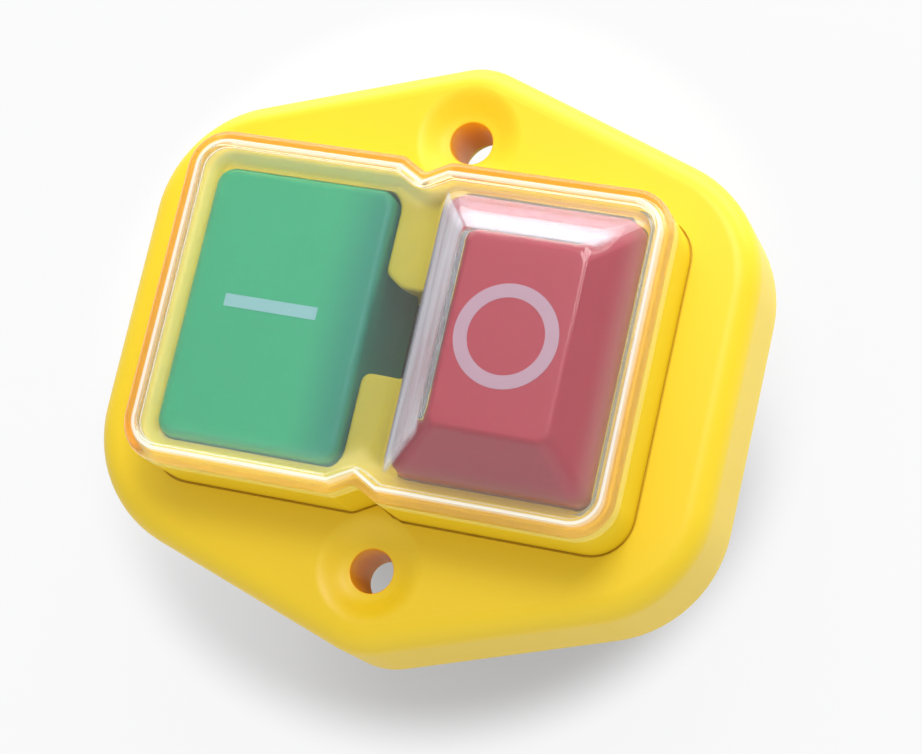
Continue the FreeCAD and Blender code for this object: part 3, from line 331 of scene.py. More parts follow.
@dataclass(frozen=True)
class ClearRubber:
    """Clear soft cover: see-through and lightly milky, with painted light: a painted highlight along the
    crest, painted shade inside the crest and between the buttons, a painted amber rim, painted yellow on the
    right and lower skirt, painted reflections on two dome bevels and milk tinted by the button beneath.
    """

    name: str
    tint: Colour = (0.97, 0.985, 0.96)
    # Painted light in the cover's colours: the web and band tints are painted shade, the rim tint a painted
    # amber for the shaded yellow wall seen through the rim, the start and stop milks painted bounce light from
    # the buttons, the crest milk a painted highlight, the bevel milk a painted reflection, and the wall milk
    # painted lit yellow on the right and lower skirt.
    web_shade_tint: Colour = (0.63, 0.70, 0.82)
    band_shade_tint: Colour = (0.89, 0.95, 0.93)
    rim_painted_amber: Colour = (0.98, 0.64, 0.30)
    start_milk_and_bounce: Colour = (0.62, 0.95, 0.84)
    stop_milk_and_bounce: Colour = (0.95, 0.74, 0.54)
    crest_highlight_colour: Colour = (0.98, 0.97, 0.92)
    bevel_reflection_colour: Colour = (0.70, 0.73, 0.80)
    wall_painted_yellow: Colour = (0.94, 0.78, 0.17)
    roughness: float = 0.03
    wall_roughness: float = 0.13
    haze: float = 0.016
    band_haze: float = 0.085
    web_haze: float = 0.02
    crest_highlight_share: float = 0.62
    wall_painted_share: float = 0.62
    shade: float = 0.84
    wall_end: Fade = (1.15, 1.4)
    crest_highlight_span: Span = (1.25, 1.40, 1.70, 1.85)
    band_span: Span = (1.3, 2.0, 3.0, 5.5)
    web_span: Span = (-11.0, -3.6, 2.2, 3.4)
    web_start: Fade = (2.5, 4.5)
    far_left: Fade = (-30.0, -26.0)
    far_top: Fade = (17.0, 20.0)
    bead_start: Fade = (-1.9, -1.2)
    side_change: float = 6.0
    ripple_per_metre: float = 90.0
    ripple_depth: float = 0.02
    reflection_streaks_per_metre: float = 420.0
    left_reflection_shares: tuple[float, float, float] = (0.12, 0.45, 0.15)
    upper_reflection_shares: tuple[float, float, float] = (0.04, 0.08, 0.24)

    def build(self) -> bpy.types.Material:
        """Make the material.

        Returns:
            The material.
        """
        graph = Graph(self.name)
        across = graph.along("X")
        inset = self._inset(graph)
        # Painted highlight: a white line along the crest of the bead.
        crest = inset.between(*self.crest_highlight_span)
        # Painted shade inside the crest, over a band that also gets real haze, and painted shade over the web
        # between the buttons.
        band_haze_and_shade = inset.between(*self.band_span)
        web_shade_and_haze = across.between(*self.web_span) * inset.rise(*self.web_start)
        # Painted light by side: the amber rim, which stands in for the shaded yellow wall seen through it,
        # runs full height on the left and upper sides and only at the bead on the right and lower sides, where
        # the skirt below gets painted lit yellow instead.
        wall = inset.fall(*self.wall_end)
        far = across.fall(*self.far_left).at_least(graph.along("Y").rise(*self.far_top))
        bead = (graph.along("Z") - LEVELS.crest).rise(*self.bead_start)
        near_wall = wall * (1.0 - far) * (1.0 - bead)
        # Painted reflections on two bevels of the dome.
        bevels = self._bevel_reflections(graph, across)

        # The see-through tint carries the painted shade of the band and the web.
        tint = graph.blend(band_haze_and_shade, graph.blend(web_shade_and_haze, self.tint, self.web_shade_tint), self.band_shade_tint)
        clear = graph.node("ShaderNodeBsdfPrincipled", sockets={
            "Base Color": graph.blend(wall * bead.at_least(far), tint, self.rim_painted_amber),
            "Roughness": wall * self.wall_roughness + self.roughness,
            "IOR": 1.41,
            "Transmission Weight": 1.0,
            "Normal": graph.bump(graph.noise(self.ripple_per_metre, 1.0), self.ripple_depth, 0.2),
        })
        # Milk tinted green over the start button and pink over the stop button: painted light bounced up from
        # each button.
        side = across.rise(-self.side_change, self.side_change)
        milk_and_painted_light = graph.blend(crest, graph.blend(side, self.start_milk_and_bounce, self.stop_milk_and_bounce), self.crest_highlight_colour)
        milk_and_painted_light = graph.blend(bevels.rise(0.0, 0.1), milk_and_painted_light, self.bevel_reflection_colour)
        milk_and_painted_light = graph.blend(near_wall, milk_and_painted_light, self.wall_painted_yellow)
        milky_and_painted_light = graph.node("ShaderNodeBsdfPrincipled", sockets={"Base Color": milk_and_painted_light, "Roughness": 0.45})
        # Shares of real haze and of painted light: the crest highlight, the bevel reflections and the skirt's
        # painted yellow.
        share = (band_haze_and_shade * self.band_haze + web_shade_and_haze * self.web_haze + self.haze).at_least(crest * self.crest_highlight_share)
        share = (share + bevels).at_least(near_wall * self.wall_painted_share)
        skin = graph.node("ShaderNodeMixShader", sockets={0: share, 1: clear, 2: milky_and_painted_light})
        passing = graph.node("ShaderNodeBsdfTransparent", sockets={"Color": (self.shade,) * 3 + (1.0,)})
        shadow = graph.node("ShaderNodeLightPath", out="Is Shadow Ray")
        return graph.finish(graph.node("ShaderNodeMixShader", sockets={0: shadow, 1: skin, 2: passing}))

    def _bevel_reflections(self, graph: Graph, across: Socket) -> Socket:
        """Painted reflections on the left and upper bevels of the dome, silvery and drawn out in streaks.

        Args:
            graph: nodes of the material.
            across: millimetres along X.

        Returns:
            Its share between 0 and 1.
        """
        layout = LAYOUT
        slope = layout.bevel_y / layout.bevel_x
        top_half_x = layout.dome_half_x - layout.bevel_x
        top_half_y = layout.dome_half_y - layout.bevel_y
        foot = layout.stop_x - layout.dome_half_x
        top = layout.stop_x - top_half_x
        along = graph.along("Y")
        streaks = graph.noise(self.reflection_streaks_per_metre, 2.0, graph.place((1.0, 0.08, 1.0)))

        past_end = along.size() - top_half_y - (top - across) * slope
        left = across.between(foot + 0.1, foot + 0.7, top - 0.65, top - 0.05) * past_end.fall(-0.5, 0.3)
        plain, streaked, low = self.left_reflection_shares
        left = left * (streaks.rise(0.25, 0.75) * streaked + along.fall(-15.0, -2.0) * low + plain)

        past_end = (across - layout.stop_x).size() - top_half_x - (along - top_half_y) * (1.0 / slope)
        upper = along.rise(top_half_y - 0.2, top_half_y + 0.2) * past_end.fall(-0.4, 0.3)
        upper = upper * along.fall(layout.dome_half_y - 0.9, layout.dome_half_y - 0.3)
        plain, streaked, bright = self.upper_reflection_shares
        lit = along.fall(top_half_y + 1.3, top_half_y + 2.7)
        return left.at_least(upper * (lit * bright + streaks * streaked + plain))

    @staticmethod
    def _inset(graph: Graph) -> Socket:
        """Measure how far inside the cover's outline each point lies.

        Args:
            graph: nodes of the material.

        Returns:
            The distance, in millimetres.
        """
        layout = LAYOUT
        across = graph.along("X")
        notch = 1.0 - (across - layout.notch_x).size() * (1.0 / layout.notch_half)
        height = graph.along("Y").size() + notch.at_least(0.0) * layout.notch_depth
        past_x = across.size() - (layout.box_half_x - layout.box_corner)
        past_y = height - (layout.box_half_y - layout.box_corner)
        out_x = past_x.at_least(0.0)
        out_y = past_y.at_least(0.0)
        corner = (out_x * out_x + out_y * out_y).root()
        return layout.box_corner - corner - past_x.at_least(past_y).at_most(0.0)


@dataclass(frozen=True)
class PlatedMetal:
    """Stamped, drawn or plated metal with fine lines."""

    name: str
    colour: Colour
    roughness: float = 0.3
    lines: tuple[float, float, float] = (1.0, 1.0, 12.0)
    line_depth: float = 0.004
    roughness_spread: float = 0.22
    lines_per_metre: float = 900.0
    clouds_per_metre: float = 220.0
    dullness: float = 0.82

    def build(self) -> bpy.types.Material:
        """Make the material.

        Returns:
            The material.
        """
        graph = Graph(self.name)
        grain = graph.noise(self.lines_per_metre, 3.0, graph.place(self.lines))
        cloud = graph.noise(self.clouds_per_metre, 2.0)
        dull = tuple(self.dullness * part for part in self.colour)
        sockets = {
            "Base Color": graph.blend(cloud, self.colour, dull),
            "Metallic": 1.0,
            "Roughness": (grain - 0.5) * self.roughness_spread + self.roughness,
            "Normal": graph.bump(grain, self.line_depth),
        }
        return graph.finish(graph.node("ShaderNodeBsdfPrincipled", sockets=sockets))


@dataclass(frozen=True)
class Winding:
    """Enamelled copper wire laid turn by turn, with painted shade in the grooves between turns."""

    name: str
    colour: Colour
    wave_scale: float = 260.0
    wire_depth: float = 0.08
    groove_shade: float = 0.45

    def build(self) -> bpy.types.Material:
        """Make the material.

        Returns:
            The material.
        """
        graph = Graph(self.name)
        wave = graph.node("ShaderNodeTexWave", {"bands_direction": "Z"},
                          {"Vector": graph.place(), "Scale": self.wave_scale,
                           "Distortion": 0.4, "Detail": 1.0}, out="Fac")
        # Painted shade: darker where the wave dips, in the grooves between turns.
        groove_shade_colour = tuple(self.groove_shade * part for part in self.colour)
        sockets = {
            "Base Color": graph.blend(wave, groove_shade_colour, self.colour),
            "Metallic": 0.85,
            "Roughness": 0.32,
            "Normal": graph.bump(wave, self.wire_depth),
        }
        return graph.finish(graph.node("ShaderNodeBsdfPrincipled", sockets=sockets))


YELLOW = FrontPlastic("yellow_moulding", (0.91, 0.665, 0.012), (0.88, 0.635, 0.010), 0.42, 0.05)
CLEAR = ClearRubber("clear_soft_cover")
GREEN = MouldedPlastic("green_button_plastic", (0.020, 0.345, 0.172), (0.017, 0.320, 0.158), 0.42)
RED = MouldedPlastic("red_button_plastic", (0.37, 0.018, 0.056), (0.345, 0.016, 0.050), 0.42)
START_PRINT = MouldedPlastic("start_mark_print", (0.235, 0.445, 0.49), (0.22, 0.42, 0.465), 0.5)
STOP_PRINT = MouldedPlastic("stop_mark_print", (0.42, 0.26, 0.355), (0.40, 0.245, 0.335), 0.5)
BLACK = MouldedPlastic("black_housing_plastic", (0.018, 0.018, 0.020), (0.024, 0.024, 0.027), 0.5, 0.1,
                       3600.0, 0.01)
GREY = MouldedPlastic("grey_frame_plastic", (0.16, 0.17, 0.19), (0.14, 0.15, 0.17), 0.5)
NATURAL = MouldedPlastic("natural_carrier_plastic", (0.72, 0.68, 0.58), (0.68, 0.64, 0.54), 0.45)
BOBBIN = MouldedPlastic("bobbin_plastic", (0.06, 0.06, 0.07), (0.05, 0.05, 0.06), 0.45)
SEAL = MouldedPlastic("seal_rubber_skin", (0.016, 0.016, 0.016), (0.022, 0.022, 0.022), 0.75, 0.1,
                      2500.0, 0.02)
STEEL = PlatedMetal("laminated_steel", (0.42, 0.42, 0.44), 0.38, (1.0, 30.0, 1.0))
ZINC = PlatedMetal("zinc_plated_steel", (0.66, 0.68, 0.70), 0.28)
WIRE = PlatedMetal("spring_wire_steel", (0.56, 0.56, 0.58), 0.25)
BRASS = PlatedMetal("contact_strip_brass", (0.78, 0.55, 0.26), 0.26)
TINNED = PlatedMetal("tinned_blade_brass", (0.74, 0.71, 0.64), 0.26, (1.0, 1.0, 0.1))
COPPER = Winding("enamelled_winding", (0.66, 0.24, 0.08))


# Mesh making


@dataclass(frozen=True)
class Corner:
    """One rounded corner of a flat outline."""

    x: float
    y: float
    radius: float


def rounded(corners: Sequence[Corner], level: float, steps: int) -> list[Vector]:
    """Points of a closed outline with its corners rounded.

    Args:
        corners: the corners, counter-clockwise.
        level: height of the outline.
        steps: edges on each rounded corner.

    Returns:
        The points in order.
    """
    points: list[Vector] = []
    for index, corner in enumerate(corners):
        here = Vector((corner.x, corner.y, level))
        before = corners[index - 1]
        after = corners[(index + 1) % len(corners)]
        back = (Vector((before.x, before.y, level)) - here).normalized()
        ahead = (Vector((after.x, after.y, level)) - here).normalized()
        half = back.angle(ahead) / 2
        centre = here + (back + ahead).normalized() * (corner.radius / math.sin(half))
        spoke = here + back * (corner.radius / math.tan(half)) - centre
        turn = math.copysign(math.pi - 2 * half, (-back).cross(ahead).z) / steps
        points += [centre + Matrix.Rotation(turn * step, 3, "Z") @ spoke for step in range(steps + 1)]
    return points


class Shape:
    """A mesh in the making, in millimetres."""

    def __init__(self) -> None:
        """Start empty."""
        self.bm = bmesh.new()

    def skin(self, outline_of: Callable[[float], list[Corner]], profile: Sequence[tuple[float, float]],
             steps: int) -> list[Ring]:
        """Extrude an outline through a profile, reshaped at each point of it.

        Args:
            outline_of: gives the outline at an inset.
            profile: inset and level of each outline, in order.
            steps: edges on each rounded corner.

        Returns:
            The edges of each outline.
        """
        inset, level = profile[0]
        verts = [self.bm.verts.new(point) for point in rounded(outline_of(inset), level, steps)]
        rings = [[self.bm.edges.new(pair) for pair in zip(verts, verts[1:] + verts[:1])]]
        for inset, level in profile[1:]:
            made = bmesh.ops.extrude_edge_only(self.bm, edges=rings[-1])["geom"]
            fresh = {item for item in made if isinstance(item, bmesh.types.BMVert)}
            verts = [next(edge.other_vert(vertex) for edge in vertex.link_edges
                          if edge.other_vert(vertex) in fresh) for vertex in verts]
            for vertex, point in zip(verts, rounded(outline_of(inset), level, steps)):
                vertex.co = point
            rings.append([self.bm.edges.get(pair) for pair in zip(verts, verts[1:] + verts[:1])])
        return rings

    def fill(self, *rings: Ring) -> None:
        """Fill the flat area inside a ring, or between rings.

        Args:
            rings: one ring, or several of which one lies round the others.
        """
        if len(rings) == 1:
            bmesh.ops.contextual_create(self.bm, geom=rings[0])
        else:
            edges = [edge for ring in rings for edge in ring]
            bmesh.ops.triangle_fill(self.bm, use_beauty=True, edges=edges)

    def turn(self, profile: Sequence[tuple[float, float]], centre: tuple[float, float],
             steps: int) -> dict[int, Ring]:
        """Spin a profile of radius and height pairs round an upright axis.

        Args:
            profile: the points, from one end to the other.
            centre: where the axis stands.
            steps: steps round the axis.

        Returns:
            The edges of the first ring, under 0, and of the last ring, under -1.
        """
        known = set(self.bm.edges)
        verts = [self.bm.verts.new((centre[0] + radius, centre[1], height)) for radius, height in profile]
        edges = [self.bm.edges.new(pair) for pair in zip(verts, verts[1:])]
        bmesh.ops.spin(self.bm, geom=verts + edges, cent=(*centre, 0), axis=(0, 0, 1), angle=2 * math.pi,
                       steps=steps, use_merge=True)
        fresh = [edge for edge in self.bm.edges if edge not in known]
        rings: dict[int, Ring] = {}
        for key in (0, -1):
            radius, height = profile[key]
            rings[key] = [edge for edge in fresh if len(edge.link_faces) == 1
                          and all(abs(end.co.z - height) < 1e-4 for end in edge.verts)
                          and all(abs(math.dist(end.co.xy, centre) - radius) < 1e-3 for end in edge.verts)]
        return rings

    def piece(self, name: str, finish: bpy.types.Material, sharp: float = 32.0) -> bpy.types.Object:
        """Turn the shape into a finished piece.

        Args:
            name: name of the piece.
            finish: its material.
            sharp: edges above this angle, in degrees, stay crisp.

        Returns:
            The piece, at the origin, in metres.
        """
        bmesh.ops.remove_doubles(self.bm, verts=self.bm.verts, dist=1e-4)
        bmesh.ops.recalc_face_normals(self.bm, faces=self.bm.faces)
        bmesh.ops.scale(self.bm, vec=(MILLIMETRE,) * 3, verts=self.bm.verts)
        mesh = bpy.data.meshes.new(name)
        self.bm.to_mesh(mesh)
        self.bm.free()
        mesh.shade_smooth()
        mesh.set_sharp_from_angle(angle=math.radians(sharp))
        mesh.materials.append(finish)
        piece = bpy.data.objects.new(name, mesh)
        bpy.context.scene.collection.objects.link(piece)
        weigh = piece.modifiers.new("even_shading", "WEIGHTED_NORMAL")
        weigh.keep_sharp = True
        weigh.weight = 80
        return piece


@dataclass(frozen=True)
class Bend:
    """A point of a profile, rounded if it is soft."""

    inset: float
    level: float
    soft: float = 0.0


def eased(bends: Sequence[Bend], steps: int = 4) -> list[tuple[float, float]]:
    """Round the soft points of a profile.

    Args:
        bends: the profile, from one end to the other.
        steps: points on each rounded bend.

    Returns:
        Inset and level pairs.
    """
    points: list[tuple[float, float]] = []
    for index, bend in enumerate(bends):
        here = Vector((bend.inset, bend.level))
        if bend.soft <= 0.0:
            points.append((here.x, here.y))
            continue
        before = Vector((bends[index - 1].inset, bends[index - 1].level))
        after = Vector((bends[index + 1].inset, bends[index + 1].level))
        first = here + (before - here).normalized() * bend.soft
        last = here + (after - here).normalized() * bend.soft
        for step in range(steps + 1):
            share = step / steps
            point = first.lerp(here, share).lerp(here.lerp(last, share), share)
            points.append((point.x, point.y))
    return points


def rectangle(x: float, y: float, half_x: float, half_y: float, radius: float) -> list[Corner]:
    """Corners of a rectangle round a centre."""
    return [Corner(x - half_x, y - half_y, radius), Corner(x + half_x, y - half_y, radius),
            Corner(x + half_x, y + half_y, radius), Corner(x - half_x, y + half_y, radius)]


# Sizes that several pieces share


@dataclass(frozen=True)
class Levels:
    """Heights above the mounting plane."""

    face: float = 15.0
    bezel: float = 22.3
    ledge: float = 23.3
    green_face: float = 23.75
    upstand: float = 23.9
    rim: float = 25.5
    sheet: float = 26.5
    crest: float = 27.25
    red_face: float = 30.5
    dome: float = 31.9
    button_foot: float = 12.7
    spring_disc: float = 18.5
    tower_foot: float = 6.5


@dataclass(frozen=True)
class Layout:
    """Places shared by the moulding, the cover, the haze and painted light on it, and the buttons."""

    start_x: float = -16.3
    stop_x: float = 15.6
    button_half_x: float = 12.0
    button_half_y: float = 17.5
    box_half_x: float = 31.4
    box_half_y: float = 21.4
    box_corner: float = 5.2
    notch_x: float = -0.5
    notch_half: float = 3.1
    notch_depth: float = 1.7
    notch_shoulder: float = 1.4
    notch_valley: float = 0.9
    dome_half_x: float = 13.0
    dome_half_y: float = 18.1
    bevel_x: float = 5.05
    bevel_y: float = 5.8
    screw_y: float = 28.0
    screw_hole: float = 2.75
    button_wall: float = 1.5
    button_roof: float = 2.0
    mark_sunk: float = 0.02
    mark_proud: float = 0.04

    def two_lobed(self, inset: float) -> list[Corner]:
        """Outline of the raised box with its V notches.

        Args:
            inset: how far it is moved inward.

        Returns:
            The corners.
        """
        half_x = self.box_half_x - inset
        half_y = self.box_half_y - inset
        lean = math.atan2(self.notch_depth, self.notch_half)
        left = self.notch_x - self.notch_half - inset * math.tan(lean / 2)
        right = self.notch_x + self.notch_half + inset * math.tan(lean / 2)
        tip = self.box_half_y - self.notch_depth - inset / math.cos(lean)
        corner = max(self.box_corner - inset, 0.5)
        shoulder = max(self.notch_shoulder - inset, 0.25)
        valley = max(self.notch_valley + inset, 0.3)
        upper = [Corner(half_x, half_y, corner), Corner(right, half_y, shoulder),
                 Corner(self.notch_x, tip, valley), Corner(left, half_y, shoulder),
                 Corner(-half_x, half_y, corner)]
        return [Corner(place.x, -place.y, place.radius) for place in reversed(upper)] + upper


LEVELS = Levels()
LAYOUT = Layout()


# Sub-assemblies


@dataclass
class FlangeMoulding:
    """Yellow moulding: hexagonal flange, raised box, guide wells, screw dishes and hollow back."""

    half_width: float = 40.3
    apex: float = 38.8
    shoulder: float = 25.4
    side_round: float = 16.5
    apex_round: float = 9.0
    edge_round: float = 3.2
    wall: float = 2.4
    skin: float = 3.0
    boss: float = 7.0
    tower_x: float = 32.6
    tower_y: float = 13.0
    tower_round: float = 3.2
    pilot_round: float = 1.25
    pilot_roof: float = 14.0
    cavity_half_x: float = 29.2
    cavity_half_y: float = 19.2
    seal_inset: float = 0.6
    seal_width: float = 1.1
    seal_depth: float = 1.4
    groove: float = 0.3
    groove_depth: float = 0.6
    well_gap: float = 0.4
    well_foot: float = 14.3
    well_lip: float = 0.5
    well_corner: float = 2.7
    window_corner: float = 1.3
    window_low: float = -5.3
    window_high: float = 5.7
    window_slant_x: float = 2.2
    window_slant_y: float = 1.7
    dish_mouth: float = 7.0
    dish_floor: float = 3.0
    dish_depth: float = 1.6
    relief: float = 4.4
    relief_roof: float = 4.5

    def hexagon(self, inset: float) -> list[Corner]:
        """Outline of the flange.

        Args:
            inset: how far it is moved inward.

        Returns:
            The corners.
        """
        slope = (self.apex - self.shoulder) / self.half_width
        apex = self.apex - inset * math.hypot(1.0, slope)
        side = self.half_width - inset
        shoulder = apex - side * slope
        tip = self.apex_round - inset
        flank = self.side_round - inset
        return [Corner(0.0, -apex, tip), Corner(side, -shoulder, flank), Corner(side, shoulder, flank),
                Corner(0.0, apex, tip), Corner(-side, shoulder, flank), Corner(-side, -shoulder, flank)]

    def wells(self, grown: float) -> list[Corner]:
        """Outline of both guide wells and the cut-out between them.

        Args:
            grown: how far it is moved outward.

        Returns:
            The corners.
        """
        reach = LAYOUT.button_half_x + self.well_gap + grown
        far = LAYOUT.button_half_y + self.well_gap + grown
        left = LAYOUT.start_x
        right = LAYOUT.stop_x
        low = self.window_low - grown
        high = self.window_high + grown
        deep = self.well_corner + grown
        stub = max(self.window_corner - grown, 0.3)
        return [Corner(left - reach, -far, deep), Corner(left + reach, -far, deep),
                Corner(left + reach, low, stub), Corner(right - reach, low, stub),
                Corner(right - reach, -far, deep), Corner(right + reach, -far, deep),
                Corner(right + reach, far, deep), Corner(right - reach, far, deep),
                Corner(right - reach, high, stub), Corner(left + reach + self.window_slant_x, high, stub),
                Corner(left + reach, high + self.window_slant_y, stub),
                Corner(left + reach, far, deep), Corner(left - reach, far, deep)]

    def build(self) -> bpy.types.Object:
        """Model the moulding as one closed shell.

        Returns:
            The finished piece.
        """
        shape = Shape()
        under = LEVELS.face - self.skin
        radius = self.edge_round
        edge = [(radius * (1 - math.cos(turn)), LEVELS.face - radius * (1 - math.sin(turn)))
                for turn in (math.radians(9 * step) for step in range(11))]
        outside = shape.skin(self.hexagon, [(0.0, 0.0)] + edge, 14)

        dishes: list[Ring] = []
        bosses: list[Ring] = []
        for side in (-1.0, 1.0):
            profile = self._dish() + [(LAYOUT.screw_hole, self.relief_roof),
                                      (self.relief, self.relief_roof), (self.relief, 0.0),
                                      (self.boss, 0.0), (self.boss, under)]
            rings = shape.turn(profile, (0.0, side * LAYOUT.screw_y), 64)
            dishes.append(rings[0])
            bosses.append(rings[-1])
        pilot = self.pilot_round
        tower = [(0.0, self.pilot_roof), (pilot, self.pilot_roof), (pilot, LEVELS.tower_foot),
                 (self.tower_round, LEVELS.tower_foot), (self.tower_round, under)]
        for side_x in (-1.0, 1.0):
            for side_y in (-1.0, 1.0):
                bosses.append(shape.turn(tower, (side_x * self.tower_x, side_y * self.tower_y), 24)[-1])

        foot, well_foot = self._box(shape)
        shape.fill(outside[-1], foot, *dishes)
        cavity = shape.skin(lambda inset: rectangle(0.0, 0.0, self.cavity_half_x, self.cavity_half_y, 1.0),
                            [(0.0, self.well_foot), (0.0, under)], 3)
        shape.fill(cavity[0], well_foot)
        inside = shape.skin(self.hexagon, [(self.wall, under), (self.wall, 0.0)], 14)
        shape.fill(inside[0], cavity[1], *bosses)
        near = self.seal_inset
        far = near + self.seal_width
        groove = shape.skin(self.hexagon, [(near, 0.0), (near, self.seal_depth), (far, self.seal_depth),
                                           (far, 0.0)], 14)
        shape.fill(outside[0], groove[0])
        shape.fill(inside[1], groove[-1])
        return shape.piece("yellow_front", YELLOW.build())

    def _dish(self) -> list[tuple[float, float]]:
        """Shape the soft bowl round a screw hole.

        Returns:
            Radius and height pairs, down to the hole's edge.
        """
        points: list[tuple[float, float]] = []
        steps = 10
        for step in range(steps + 1):
            share = step / steps
            drop = self.dish_depth * share * share * (3.0 - 2.0 * share)
            reach = self.dish_mouth + (self.dish_floor - self.dish_mouth) * share
            points.append((reach, LEVELS.face - drop))
        low = LEVELS.face - self.dish_depth
        return points + [(LAYOUT.screw_hole + 0.08, low - 0.06), (LAYOUT.screw_hole, low - 0.25)]

    def _box(self, shape: Shape) -> tuple[Ring, Ring]:
        """Raise the box from its foot and sink the wells.

        Args:
            shape: the moulding.

        Returns:
            The edges of the foot on the flange, and the lower edges of the wells.
        """
        low = LEVELS.face - self.groove_depth
        profile = eased([Bend(-self.groove, LEVELS.face), Bend(-self.groove, low), Bend(0.0, low),
                         Bend(0.0, LEVELS.ledge, 0.35), Bend(1.1, LEVELS.ledge),
                         Bend(1.1, LEVELS.upstand, 0.25), Bend(2.0, LEVELS.upstand, 0.4),
                         Bend(3.2, LEVELS.bezel, 0.5), Bend(3.6, LEVELS.bezel)])
        box = shape.skin(LAYOUT.two_lobed, profile, 8)
        lip = self.well_lip
        wells = shape.skin(self.wells, eased([Bend(lip, LEVELS.bezel), Bend(0.0, LEVELS.bezel, lip - 0.01),
                                              Bend(0.0, self.well_foot)]), 5)
        shape.fill(box[-1], wells[0])
        return box[0], wells[-1]


@dataclass
class SoftCover:
    """Clear soft cover: skirt, bead, flat sheet and bevelled dome."""

    thickness: float = 0.95
    skirt_wall: float = 1.0
    bead_width: float = 2.1
    bead_round: float = 1.4
    fullness: float = 0.55
    full_at: float = 0.46
    corner: float = 1.7

    def build(self) -> bpy.types.Object:
        """Model the outer skin and the lining inside it as one closed shell.

        Returns:
            The finished piece.
        """
        shape = Shape()
        crest = LEVELS.crest
        skirt_foot = LEVELS.ledge + 0.02
        outside = eased([Bend(0.0, skirt_foot), Bend(0.0, crest, self.bead_round),
                         Bend(self.bead_width, crest, 0.45), Bend(self.bead_width + 0.1, LEVELS.sheet, 0.2),
                         Bend(self.bead_width + 0.6, LEVELS.sheet)], 6)
        outer = shape.skin(LAYOUT.two_lobed, outside, 8)
        wall = self.skirt_wall
        under = LEVELS.sheet - self.thickness
        inside = eased([Bend(wall, skirt_foot), Bend(wall, under, 0.2), Bend(wall + 0.8, under)], 3)
        inner = shape.skin(LAYOUT.two_lobed, inside, 8)
        shape.fill(outer[0], inner[0])
        rise = LEVELS.dome - LEVELS.sheet
        dome = eased([Bend(-0.5, LEVELS.sheet), Bend(0.0, LEVELS.sheet, 0.4),
                      Bend(LAYOUT.bevel_x * self.full_at, LEVELS.sheet + rise * self.fullness, 1.0),
                      Bend(LAYOUT.bevel_x, LEVELS.dome, 0.6), Bend(LAYOUT.bevel_x + 1.0, LEVELS.dome)], 6)
        rings = shape.skin(self.dome_outline, dome, 6)
        shape.fill(outer[-1], rings[0])
        shape.fill(rings[-1])
        ceiling = LEVELS.dome - self.thickness
        lining = eased([Bend(0.0, under), Bend(LAYOUT.bevel_x, ceiling, 0.5),
                        Bend(LAYOUT.bevel_x + 1.0, ceiling)], 6)
        rings = shape.skin(self.lining_outline, lining, 6)
        shape.fill(inner[-1], rings[0])
        shape.fill(rings[-1])
        return shape.piece("clear_cover_skin", CLEAR.build(), 50.0)

    def dome_outline(self, inset: float, wall: float = 0.0) -> list[Corner]:
        """Outline of the dome.

        Args:
            inset: how far it is moved inward across the bevels.
            wall: wall that it is moved in through first.

        Returns:
            The corners.
        """
        rise = LEVELS.dome - LEVELS.sheet
        halves: list[float] = []
        for half, bevel in ((LAYOUT.dome_half_x, LAYOUT.bevel_x), (LAYOUT.dome_half_y, LAYOUT.bevel_y)):
            slant = wall * (math.hypot(rise, bevel) - bevel) / rise
            halves.append(half - slant - inset * bevel / LAYOUT.bevel_x)
        return rectangle(LAYOUT.stop_x, 0.0, *halves, self.corner)

    def lining_outline(self, inset: float) -> list[Corner]:
        """Outline of the hollow in the dome, one wall inside it."""
        return self.dome_outline(inset, self.thickness)


@dataclass(frozen=True)
class StemSocket:
    """Stem socket and spring disc inside a button."""

    outside: float = 5.0
    bore: float = 3.55
    bore_roof: float = 12.05
    foot: float = 9.0
    disc: float = 7.4
    disc_thickness: float = 1.6

    def build(self, shape: Shape, axis: float, roof: float, roof_edges: Ring) -> None:
        """Close a button's hollow with its roof, socket and disc.

        Args:
            shape: the button.
            axis: where the stem stands.
            roof: height of the hollow's roof.
            roof_edges: upper edges of the hollow.
        """
        low = LEVELS.spring_disc
        high = low + self.disc_thickness
        profile = [(self.outside, roof), (self.outside, high), (self.disc, high), (self.disc, low),
                   (self.outside, low), (self.outside, self.foot), (self.bore, self.foot),
                   (self.bore, self.bore_roof), (0.0, self.bore_roof)]
        shape.fill(roof_edges, shape.turn(profile, (axis, 0.0), 32)[0])


@dataclass
class HollowButton:
    """What both buttons share: a hollow cap with a stem socket."""

    axis: float = 0.0
    corner: float = 2.3
    steps: int = 8

    def outline(self, inset: float) -> list[Corner]:
        """Outline of the button, moved inward."""
        return rectangle(self.axis, 0.0, LAYOUT.button_half_x - inset, LAYOUT.button_half_y - inset,
                         self.corner - inset)

    def cap(self, bends: Sequence[Bend]) -> Shape:
        """Model the hollow cap with its socket.

        Args:
            bends: its profile above the foot, up to the face.

        Returns:
            The closed shell.
        """
        shape = Shape()
        foot = LEVELS.button_foot
        wall = LAYOUT.button_wall
        roof = bends[0].level - LAYOUT.button_roof
        rings = shape.skin(self.outline, eased([Bend(0.0, foot), *bends], 6), self.steps)
        shape.fill(rings[-1])
        inner = shape.skin(self.outline, [(wall, foot), (wall, roof)], self.steps)
        shape.fill(rings[0], inner[0])
        StemSocket().build(shape, self.axis, roof, inner[1])
        return shape


